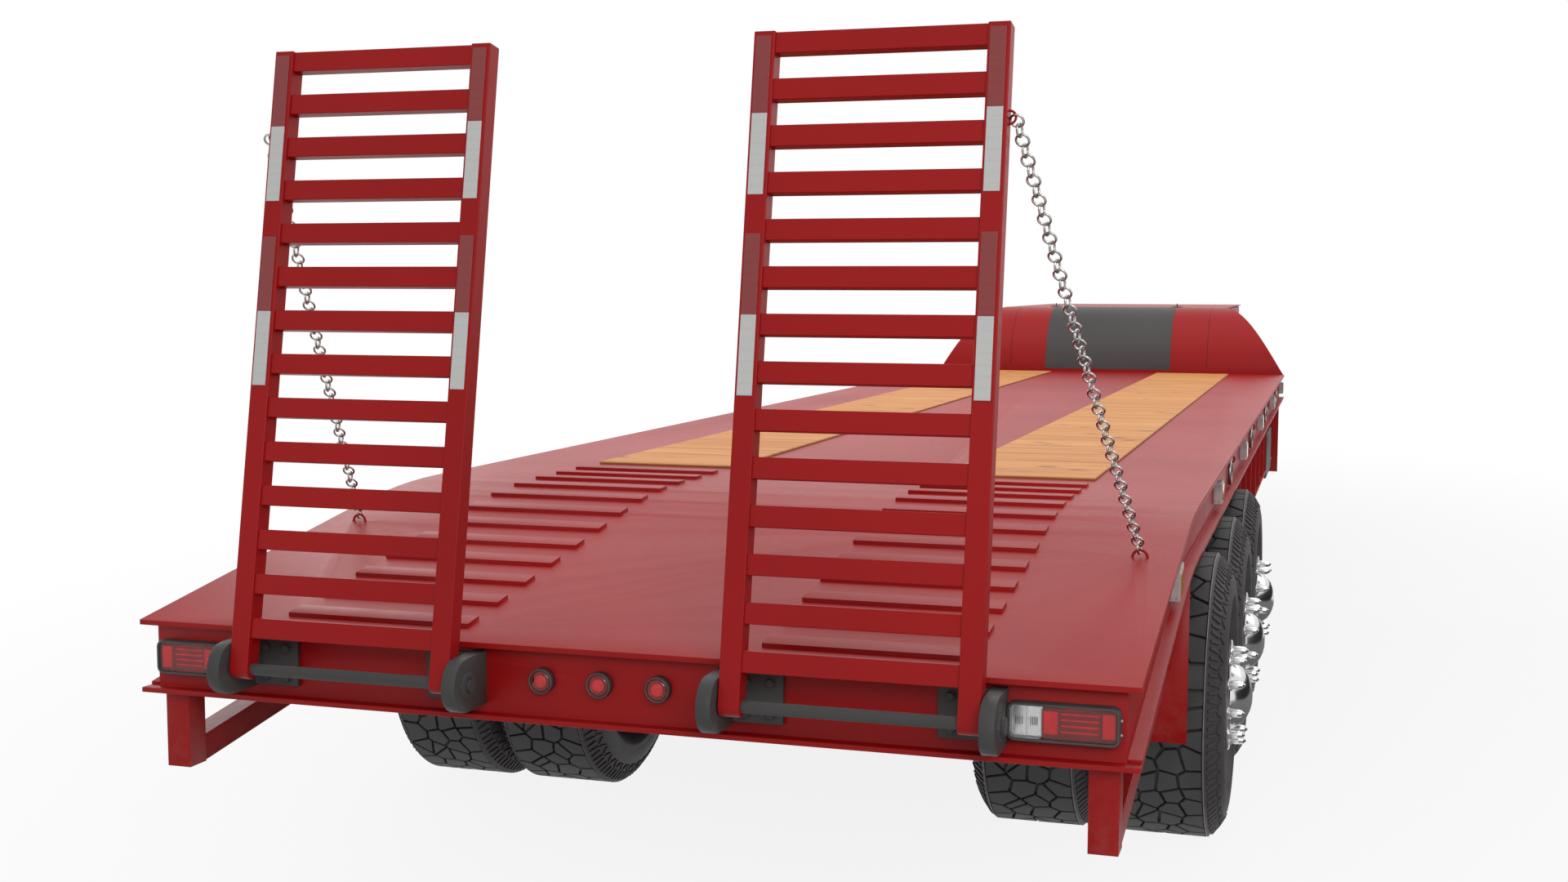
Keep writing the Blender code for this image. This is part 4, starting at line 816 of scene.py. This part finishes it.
def reflector_strip(way, start, low, high):
    """A strip on a stile's rear face, set towards the trailer's left as in the photograph."""
    left = (start if way > 0 else -start - STILE_WIDTH) + STRIP_MARGIN
    back = -STILE_DEPTH / 2
    mesh = block((left, back - 0.0022, low), (left + STRIP_WIDTH, back + 0.001, high))
    return shifted(rolled(mesh, 0.0006), ramp_frame())


def chain_row():
    """A right-hand chain's links as the solids have them: inner radius, and a placing for each."""
    outer = RAMP_INNER + RAMP_WIDTH
    eye = ramp_frame() @ Vector((outer + RAMP_EYE_RADIUS, 0, RAMP_EYE_HEIGHT - STILE_DEPTH / 2))
    anchor = place(CHAIN_EYE_X, CHAIN_EYE_Y, deck_level(CHAIN_EYE_Y) + CHAIN_EYE_RADIUS)
    ahead = (anchor - eye).normalized()
    upright = ramp_frame().to_3x3() @ Vector((0, 0, 1))
    first_normal = (upright - ahead * upright.dot(ahead)).normalized()
    on_ramp = RAMP_EYE_WIRE / upright.cross(ahead).length - CHAIN_WELD
    span = (anchor - eye).length + on_ramp + CHAIN_EYE_WIRE + CHAIN_HOOK_SLACK
    hung = CHAIN_LINKS - 2
    inner = (span + CHAIN_LINK_GAP - CHAIN_WELD * hung) / (2 * CHAIN_LINKS)
    distances = [inner - on_ramp, inner * 3 - on_ramp - CHAIN_LINK_GAP]
    for i in range(hung):
        distances.append(distances[-1] + inner * 2 + CHAIN_WELD)
    placings = []
    for i, distance in enumerate(distances):
        share = max(0, i - 1) / hung
        centre = eye + ahead * distance
        centre.z -= CHAIN_SAG * 4 * share * (1 - share)
        tangent = ahead.copy()
        if i > 1:
            tangent.z -= CHAIN_SAG * 4 * (1 - 2 * share) / span
        tangent.normalize()
        normal = first_normal if i % 2 == 0 else ahead.cross(first_normal)
        normal = (normal - tangent * normal.dot(tangent)).normalized()
        turn = Matrix((tangent, normal.cross(tangent), normal)).transposed().to_4x4()
        placings.append(Matrix.Translation(centre) @ turn)
    return inner, placings


def chains():
    """Wire links; the first of each chain stays on its ramp."""
    inner, placings = chain_row()
    sizes = {"Radius": inner + CHAIN_WIRE, "Wire": CHAIN_WIRE}
    rows = {"chain_": repeat("chain_links", placings[1:], link_shape, sizes, CHAIN_STEEL)}
    rows["ramp_"] = repeat("first_link", placings[:1], link_shape, sizes, CHAIN_STEEL)
    for part, mesh in rows.items():
        mesh.shade_smooth()
        for side, way in SIDES.items():
            name = "chain_" + side + (".links" if part == "chain_" else ".first_link")
            piece = add_piece(name, handed(mesh, way), part + side)
            if part == "chain_":
                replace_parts(piece, "chain_" + side)


def clipped(loop, middle, away, gap):
    """The part of a flat loop nearer to middle than to away, kept half a gap clear of the line between."""
    across = (away[0] - middle[0], away[1] - middle[1])
    length = math.hypot(*across)
    limit = length / 2 - gap / 2
    reach = [((p[0] - middle[0]) * across[0] + (p[1] - middle[1]) * across[1]) / length - limit for p in loop]
    kept = []
    for i, point in enumerate(loop):
        j = (i + 1) % len(loop)
        if reach[i] <= 0:
            kept.append(point)
        if (reach[i] <= 0) != (reach[j] <= 0):
            share = reach[i] / (reach[i] - reach[j])
            kept.append(tuple(point[k] + (loop[j][k] - point[k]) * share for k in (0, 1)))
    return kept


def tread_cells():
    """Irregular many-sided blocks on the unrolled tread, as loops of (around, across)."""
    dice = random.Random(7)
    around = 2 * math.pi * TYRE_RADIUS
    columns = 42
    rows = 4
    reach = 0.12
    spots = []
    for i in range(columns):
        for j in range(rows):
            u = around * (i + 0.5 + dice.uniform(-0.4, 0.4)) / columns
            v = 2 * TREAD_HALF * ((j + 0.5 + dice.uniform(-0.38, 0.38)) / rows - 0.5)
            spots.append((u, v))
    cells = []
    for u, v in spots:
        loop = [(u - reach, -TREAD_HALF), (u + reach, -TREAD_HALF)]
        loop += [(u + reach, TREAD_HALF), (u - reach, TREAD_HALF)]
        for a, b in spots:
            near = (a - u + around / 2) % around - around / 2
            if 0 < abs(near) + abs(b - v) and abs(near) < 0.2:
                loop = clipped(loop, (u, v), (u + near, b), TREAD_GROOVE)
        cells.append(loop)
    return cells


def on_tread(radius, around, across):
    """A spot of the unrolled tread, wrapped round the tyre."""
    turn = around / TYRE_RADIUS
    return (across, radius * math.cos(turn), radius * math.sin(turn))


def tread_blocks():
    """Blocks with a chamfered rim and a slightly raised middle."""
    shape = bmesh.new()
    for loop in tread_cells():
        if len(loop) < 3:
            continue
        u0 = sum(u for u, v in loop) / len(loop)
        v0 = sum(v for u, v in loop) / len(loop)
        rings = []
        for radius, inset in ((0.425, 0.0), (0.4375, 0.0), (0.4395, 0.0022)):
            ring = []
            for u, v in loop:
                share = 1 - inset / max(0.001, math.hypot(u - u0, v - v0))
                spot = on_tread(radius, u0 + (u - u0) * share, v0 + (v - v0) * share)
                ring.append(shape.verts.new(spot))
            rings.append(ring)
        crown = shape.verts.new(on_tread(TYRE_RADIUS, u0, v0))
        bridge(shape, [*rings, [crown]])
        shape.faces.new(rings[0][::-1])
    return coated(closed(shape, sharp=28), TREAD)


def on_shoulder(turn, share, start, slant, way):
    """Placing of a rib on the tyre's shoulder: z away from the rubber, y down the sidewall."""
    (r0, x0), (r1, x1) = SHOULDER[start], SHOULDER[start + 1]
    radius = r0 + (r1 - r0) * share
    along = x0 + (x1 - x0) * share
    out = Vector((0, math.cos(turn), math.sin(turn)))
    down = (out * (r1 - r0) + Vector((way * (x1 - x0), 0, 0))).normalized()
    side = Vector((1, 0, 0)).cross(out) * way
    face = side.cross(down).normalized()
    base = Matrix((side, down, face)).transposed().to_4x4()
    spot = out * radius + Vector((way * along, 0, 0))
    return Matrix.Translation(spot) @ base @ Matrix.Rotation(slant, 4, "Z")


def tyre_mesh():
    """Carcass, tread blocks, shoulder ribs and chevrons of one tyre about the origin, with a pale line round
    each shoulder edge as a painted highlight.
    """
    groove_half = 0.1275
    edge_radius = 0.4384
    edge_x = 0.1320
    half = [(0.427, 0.0), (0.427, groove_half), (0.4365, 0.1290), (0.4385, edge_x), *SHOULDER]
    half += [(0.348, 0.1866), (0.330, 0.1872), (0.318, 0.1850), (0.314, 0.1862), (0.306, 0.1835)]
    half += [(0.284, 0.166), (0.264, 0.139), (0.2505, 0.118), (0.2475, 0.110)]
    profile = [(radius, -along) for radius, along in reversed(half)] + half[1:]
    carcass = coated(lathe(profile, 96, close=True, sharp=50), SIDEWALL_RUBBER)
    carcass.materials.append(TREAD)
    for face in carcass.polygons:
        if abs(face.center.x) < groove_half:
            face.material_index = 1
    ribs = []
    chevrons = []
    edges = []
    for way in (-1, 1):
        for i in range(SHOULDER_RIBS):
            ribs.append(on_shoulder(2 * math.pi * i / SHOULDER_RIBS, 0.55, 0, 0.12 * (-1) ** i, way))
        for i in range(CHEVRONS):
            chevrons.append(on_shoulder(2 * math.pi * i / CHEVRONS, 0.45, 1, 0.62 * (-1) ** i, way))
        # A thin pale grey tube round each shoulder edge: a painted highlight of that edge.
        line = [(way * edge_x, *spot) for spot in circle(edge_radius, 96)]
        edges.append(coated(tube_mesh(line, 0.0012, cyclic=True, sides=6), TREAD_EDGE_HIGHLIGHT))
    sizes = {"Width": 0.0085, "Length": 0.036, "Height": 0.0100}
    band = repeat("shoulder_ribs", ribs, rib_shape, sizes, SIDEWALL_RUBBER)
    sizes = {"Width": 0.0070, "Length": 0.027, "Height": 0.0090}
    zigzag = repeat("chevrons", chevrons, rib_shape, sizes, SIDEWALL_RUBBER)
    return joined([carcass, tread_blocks(), band, zigzag, *edges])


def wheel_mesh():
    """Right-hand dual wheel without tyres: chrome cover and nuts on a painted disc, rim and drum."""
    cover = [(0, 1.431), (0.022, 1.4298), (0.044, 1.4250), (0.064, 1.4165), (0.081, 1.4045)]
    cover += [(0.094, 1.389), (0.102, 1.3745), (0.1045, 1.3685), (0.110, 1.3662), (0.166, 1.366)]
    cover += [(0.171, 1.3625), (0.171, 1.349), (0.166, 1.3458), (0.0, 1.3458)]
    chrome = coated(lathe(cover, 64, sharp=40), CHROME_PLATE)
    rim = [(0.12, 1.3455), (0.164, 1.3455), (0.182, 1.318), (0.196, 1.284), (0.204, 1.274)]
    rim += [(0.232, 1.279), (0.244, 1.2875), (0.2535, 1.2935), (0.2562, 1.2905), (0.2535, 1.2865)]
    rim += [(0.2468, 1.283), (0.2468, 0.696), (0.2535, 0.6925), (0.2562, 0.6888), (0.2535, 0.6855)]
    rim += [(0.240, 0.692), (0.206, 0.698), (0.2045, 0.690), (0.2045, 0.624), (0.198, 0.6165)]
    rim += [(0.100, 0.6152), (0.066, 0.6152), (0.066, 0.70)]
    disc = coated(lathe(rim, 64, close=True, sharp=40), GREY_PAINT)
    stand = Matrix.Rotation(math.pi / 2, 4, "Y")
    nut_face = 1.3655
    spots = circle(0.139, WHEEL_NUTS, 2 * math.pi * 0.3 / WHEEL_NUTS)
    nuts = [Matrix.Translation((nut_face, *spot)) @ stand for spot in spots]
    sizes = {"Radius": 0.0135, "Height": 0.050}
    studs = repeat("wheel_nuts", nuts, wheel_nut_shape, sizes, CHROME_PLATE)
    studs.shade_smooth()
    studs.set_sharp_from_angle(angle=math.radians(40))
    return joined([chrome, disc, studs])


def wheels():
    """Six dual wheels, with every tyre stopped at a turn of its own."""
    tyre = tyre_mesh()
    wheel = wheel_mesh()
    for row, y in WHEEL_ROWS.items():
        for side, way in SIDES.items():
            body = "wheel_" + row + "_" + side
            hub = shifted(handed(wheel, way), Matrix.Translation(place(0, y, TYRE_RADIUS)))
            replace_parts(add_piece(body + ".disc", hub, body), "hub_" + row + "_" + side)
            for spot, x in (("outer", OUTER_TYRE_X), ("inner", INNER_TYRE_X)):
                spin = Matrix.Rotation(TYRE_STAGGER * y + x, 4, "X")
                centre = Matrix.Translation(place(way * x, y, TYRE_RADIUS))
                mesh = shifted(tyre.copy(), centre @ spin)
                node = "tyre_" + row + "_" + side + "_" + spot
                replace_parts(add_piece(node + ".tread", mesh, body), node)


def deck_level(y):
    """Height of the deck's top at a distance from the rear lip."""
    return DECK_HEIGHT - TAIL_DROP * max(0.0, 1 - y / TAIL_LENGTH)


def hinge_bolts():
    """Four bolts through the base plate of each hinge bracket."""
    facing = Matrix.Rotation(math.pi / 2, 4, "X")
    sizes = {"Washer radius": 0.0135, "Washer height": 0.0022}
    sizes.update({"Head radius": 0.0105, "Head height": 0.0075})
    for side, way in SIDES.items():
        spots = []
        for start, step in ((RAMP_INNER, BOLT_STEP), (RAMP_INNER + RAMP_WIDTH, -BOLT_STEP)):
            for across in (0.5, 1.5):
                for up in (-BOLT_RISE, BOLT_RISE):
                    spot = place(way * (start + step * across), BASE_FACE, HINGE_Z + up)
                    spots.append(Matrix.Translation(spot) @ facing)
        heads = repeat("hinge_bolts", spots, bolt_shape, sizes, GREY_PAINT)
        add_piece("hinge_bolts_" + side, heads, "chassis")


def bulkhead():
    """Rolled sheet that rises from the deck and bends over into the top of the neck."""
    rows = [(NECK_START, DECK_HEIGHT - NECK_FOOT, NECK_BASE_HALF, 0.0)]
    for i in range(BEND_STEPS + 1):
        turn = math.pi / 2 * i / BEND_STEPS
        half = NECK_BASE_HALF + (NECK_HALF - NECK_BASE_HALF) * i / BEND_STEPS
        rows.append((*bulkhead_spot(turn, 0.0), half, turn))
    rows.append((NECK_FRONT, DECK_HEIGHT + NECK_RISE, NECK_HALF, math.pi / 2))
    shape = bmesh.new()
    rings = []
    for y, z, half, turn in rows:
        across = [half * k / 6 for k in range(-6, 7)]
        under = (y + NECK_COVER * math.cos(turn), z - NECK_COVER * math.sin(turn))
        spots = [(x, y, z) for x in across] + [(x, *under) for x in reversed(across)]
        rings.append([shape.verts.new(place(*spot)) for spot in spots])
    bridge(shape, rings)
    for ring in (rings[0], rings[-1]):
        for k in range(12):
            shape.faces.new((ring[k], ring[k + 1], ring[-2 - k], ring[-1 - k]))
    sheet = closed(shape, sharp=40)
    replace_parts(add_piece("neck_cover.sheet", sheet, "chassis", RED_PAINT), "neck_cover")
    add_piece("neck_cover.panel", bulkhead_panel(), "chassis", PANEL_PAINT)
    bend = [bulkhead_spot(math.pi / 2 * i / BEND_STEPS, 0.0) for i in range(2, BEND_STEPS + 1)]
    dome = [(0, 0.012), (0.020, 0.0105), (0.038, 0.006), (0.050, 0.0), (0.050, -0.004), (0, -0.004)]
    pin = [(0, 0.030), (0.0035, 0.028), (0.0045, 0.010), (0, 0.010)]
    upright = Matrix.Rotation(-math.pi / 2, 4, "Y")
    vent_y = NECK_START + NECK_RISE + 0.03
    seams = []
    vents = []
    for way in SIDES.values():
        seams.append(tube_mesh([place(way * SEAM_X, y, z) for y, z in bend], 0.0016, sides=6))
        spot = Matrix.Translation(place(way * VENT_X, vent_y, DECK_HEIGHT + NECK_RISE))
        vents += [shifted(lathe(line, 24), spot @ upright) for line in (dome, pin)]
    # Thin raised beads at the seams, in dark red as painted shade of the seams' grooves.
    add_piece("neck_cover.seams", joined(seams), "chassis", SEAM_SHADE_PAINT)
    add_piece("neck_cover.vents", joined(vents), "chassis", PANEL_PAINT)


def bulkhead_spot(turn, proud):
    """Place along and up of a point on the bulkhead's bend, a little proud of the sheet."""
    reach = NECK_RISE + proud
    return (NECK_START + NECK_RISE - reach * math.cos(turn), DECK_HEIGHT + reach * math.sin(turn))


def bulkhead_panel():
    """Dark panel on the middle of the bend."""
    shape = bmesh.new()
    rings = []
    edge = PANEL_HALF + 0.001
    for i in range(1, BEND_STEPS + 1):
        turn = math.pi / 2 * i / BEND_STEPS
        face = bulkhead_spot(turn, 0.002)
        foot = bulkhead_spot(turn, -0.001)
        spots = [(-edge, *foot), (-PANEL_HALF, *face), (0.0, *face), (PANEL_HALF, *face), (edge, *foot)]
        rings.append([shape.verts.new(place(*spot)) for spot in spots])
    bridge(shape, rings)
    shape.faces.new(rings[0][::-1])
    shape.faces.new(rings[-1])
    return closed(shape, sharp=40)


def slab(low, high, corner):
    """Flat lamp moulding whose outline in x and z has round corners."""
    ring = rounded_outline(low[0], high[0], low[2], high[2], corner)
    back = [(x, high[1], z) for x, z in ring]
    front = [(x, low[1], z) for x, z in ring]
    return rolled(prism(back, front), 0.0015, angle=50)


def rounded_outline(left, right, low, high, corner):
    ring = []
    middles = [(x, high - corner) for x in (right - corner, left + corner)]
    middles += [(x, low + corner) for x in (left + corner, right - corner)]
    for quarter, (x, z) in enumerate(middles):
        for across, up in arc(corner, math.pi / 2 * quarter, math.pi / 2, 6):
            ring.append((x + across, z + up))
    return ring


def lamp_frame(left, right, low, high, corner, lip, front, back):
    """Rubber frame of a lamp: a rounded outline with a window in it."""
    shape = bmesh.new()
    section = [(0.0, back), (0.0, front + 0.003), (0.002, front)]
    section += [(lip - 0.001, front), (lip, front + 0.004), (lip, back)]
    rings = []
    for inset, y in section:
        ring = rounded_outline(left + inset, right - inset, low + inset, high - inset, corner - inset)
        rings.append([shape.verts.new((x, y, z)) for x, z in ring])
    bridge(shape, rings + rings[:1])
    return closed(shape, sharp=40)


def tail_lamp():
    """Right-hand tail lamp at its place across and up, with y from the rear lip."""
    left, right, low, high = 0.980, 1.230, 0.708, 0.796
    front, back, lip = 0.0030, 0.0297, 0.0075
    inner, end = left + lip, right - lip
    sill, top = low + lip, high - lip
    wide = end - inner
    split = inner + 0.30 * wide
    bowl_face = 0.024
    lens_front, lens_back, lens_corner = 0.0068, 0.0098, 0.0085
    tuck = 0.002
    gap = 0.0006
    wall_half = 0.0008
    surround = coated(lamp_frame(left, right, low, high, 0.018, lip, front, back), LAMP_RUBBER)
    base = block((inner - tuck, bowl_face, sill - tuck), (end + tuck, 0.0290, top + tuck))
    clear = slab((inner, lens_front, sill), (split - gap, lens_back, top), lens_corner)
    red = slab((split + gap, lens_front, sill), (end, lens_back, top), lens_corner)
    back_wall = coated(block((split, 0.0225, sill), (end, 0.0245, top)), RED_BACK)
    walls = []
    for share in (0.15, 0.30, 0.46, 0.84):
        x = inner + share * wide
        wall = block((x - wall_half, 0.011, sill), (x + wall_half, 0.025, top))
        walls.append(coated(wall, CLEAR_LENS))
    slots = []
    for start in (0.045, 0.185):
        for i in range(4):
            x = inner + (start + 0.020 * i) * wide
            slots.append(coated(block((x, 0.0165, 0.743), (x + 0.0016, 0.0185, 0.761)), LAMP_RUBBER))
    glow = block((inner + 0.31 * wide, 0.014, low + 0.018), (inner + 0.45 * wide, bowl_face, high - 0.018))
    edge = inner + 0.985 * wide
    corner = block((inner + 0.86 * wide, 0.013, low + 0.016), (edge, bowl_face, high - 0.016))
    blocks = [coated(rolled(piece, 0.002), RED_REFLEX) for piece in (glow, corner)]
    upright = Matrix.Rotation(math.pi / 2, 4, "X")
    flutes = []
    for i in range(15):
        x = inner + (0.012 + 0.0185 * i) * wide
        flutes.append(Matrix.Translation((x, bowl_face, (low + high) / 2)) @ upright)
    sizes = {"Width": 0.0028, "Length": top - sill - 0.006, "Height": 0.006}
    bowl_ribs = repeat("bowl_ribs", flutes, rib_shape, sizes, REFLECTOR_BOWL)
    bars = []
    for i in range(4):
        z = low + 0.024 + 0.0135 * i
        line = [(inner + 0.47 * wide, 0.020, z), (inner + 0.83 * wide, 0.020, z)]
        bars.append(coated(tube_mesh(line, 0.0028, sides=10), RED_REFLEX))
    stud = [(0, 0.0045), (0.002, 0.004), (0.0034, 0.002), (0.0034, -0.002), (0, -0.002)]
    studs = []
    for x, turn in ((left, math.pi), (right, 0)):
        for z in (0.736, 0.768):
            tip = Matrix.Translation((x, 0.013, z)) @ Matrix.Rotation(turn, 4, "Z")
            studs.append(coated(shifted(lathe(stud, 12), tip), LAMP_CASE))
    lenses = [coated(clear, CLEAR_LENS), coated(red, RED_LENS)]
    shell = [surround, coated(base, REFLECTOR_BOWL), *lenses, bowl_ribs, back_wall]
    return joined([*shell, *slots, *walls, *blocks, *bars, *studs])


def lamps():
    tail = tail_lamp()
    for side, way in SIDES.items():
        mesh = shifted(handed(tail, way), Matrix.Translation(place(0, 0, 0)))
        node = "tail_lamp_" + side
        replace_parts(add_piece(node + ".lamp", mesh, "chassis"), node)
        starts = [SIDE_LAMP_FIRST + SIDE_LAMP_PITCH * i for i in range(SIDE_LAMP_COUNT)]
        cases, lenses = zip(*[side_lamp(y) for y in starts])
        for name, parts, finish in (("cases", cases, LAMP_CASE), ("lenses", lenses, AMBER_LENS)):
            mesh = handed(joined(parts), way)
            add_piece("side_lamps_" + side + "." + name, mesh, "chassis", finish)


def round_lamps():
    """Three round lamps in the rear beam: rubber bezel, domed lens, bright bowl and dark back."""
    bezel = [(0.0255, 0.004), (0.0262, -0.0020), (0.0290, -0.0036)]
    bezel += [(0.0310, -0.0010), (0.0315, 0.018), (0.0255, 0.018)]
    lens = [(0, -0.0052), (0.010, -0.0048), (0.019, -0.0036), (0.0260, -0.0012), (0.0260, 0.0), (0, 0.0)]
    bowl = [(0, -0.0002), (0.008, -0.0003), (0.0165, -0.0008), (0.0168, 0.002), (0, 0.002)]
    back = [(0.0164, -0.0009), (0.0265, -0.0009), (0.0265, 0.002), (0.0164, 0.002)]
    facing = Matrix.Rotation(math.pi / 2, 4, "Z")
    work = {
        "bezels": (bezel, True, LAMP_RUBBER),
        "lenses": (lens, False, RED_LENS),
        "bowls": (bowl, False, RED_REFLEX),
        "backs": (back, True, RED_BACK),
    }
    for name, (profile, close, finish) in work.items():
        rounds = []
        for x in (-ROUND_LAMP_PITCH, 0.0, ROUND_LAMP_PITCH):
            spot = Matrix.Translation(place(x, 0.0108, ROUND_LAMP_HEIGHT)) @ facing
            rounds.append(shifted(lathe(profile, 40, close=close), spot))
        add_piece("round_lamps." + name, joined(rounds), "chassis", finish)


def side_lamp(y):
    """Case and lens of a right-hand side lamp, leaning with the deck."""
    top = DECK_HEIGHT - SIDE_LAMP_DROP
    low = top - SIDE_LAMP_HEIGHT
    back = y - 0.0015
    ahead = y + 0.1015
    rim = 0.010
    screw_inset = 0.012
    case = block((WEB_OUTER - 0.0005, back, low), (DECK_HALF - 0.0022, ahead, top))
    lens_low = (DECK_HALF - 0.0028, y + 0.008, low + rim)
    lens_high = (DECK_HALF - 0.0002, y + 0.092, top - rim)
    lens = rolled(block(lens_low, lens_high), 0.0012)
    screw = [(0, 0.0022), (0.0022, 0.0018), (0.0032, 0.0), (0, 0.0)]
    facing = Matrix.Rotation(-math.pi / 2, 4, "Z")
    heads = []
    for z in (low + screw_inset, top - screw_inset):
        for x in (WEB_OUTER + 0.0075, WEB_OUTER + 0.0225):
            heads.append(shifted(lathe(screw, 12), Matrix.Translation((x, back, z)) @ facing))
    case = joined([rolled(case, 0.003), *heads])
    for mesh in (case, lens):
        for vertex in mesh.vertices:
            vertex.co.z += deck_level(vertex.co.y) - DECK_HEIGHT
            vertex.co = place(*vertex.co)
    return case, lens


def lashing_rings():
    """Round wire rings on the middles of the faceted solids."""
    for name in NODES:
        if not name.startswith("lashing_ring"):
            continue
        spots = [vertex.co for vertex in plain_copy(name).vertices]
        low = Vector([min(spot[i] for spot in spots) for i in range(3)])
        high = Vector([max(spot[i] for spot in spots) for i in range(3)])
        middle = (low + high) / 2
        wire = (high.x - low.x) / 2
        radius = (high.y - low.y) / 2 - wire
        line = [middle + Vector((0, *spot)) for spot in circle(radius, 48)]
        mesh = tube_mesh(line, wire, cyclic=True, sides=14)
        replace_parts(add_piece(name + ".round", mesh, name, WORN_STEEL), name)


camera_and_light()
studio_floor()
dark_flags()
dress_solids()
rolled_solids()
ramps()
chains()
wheels()
bulkhead()
lamps()
round_lamps()
lashing_rings()
hinge_bolts()

scene = bpy.context.scene
scene.view_settings.view_transform = "Standard"
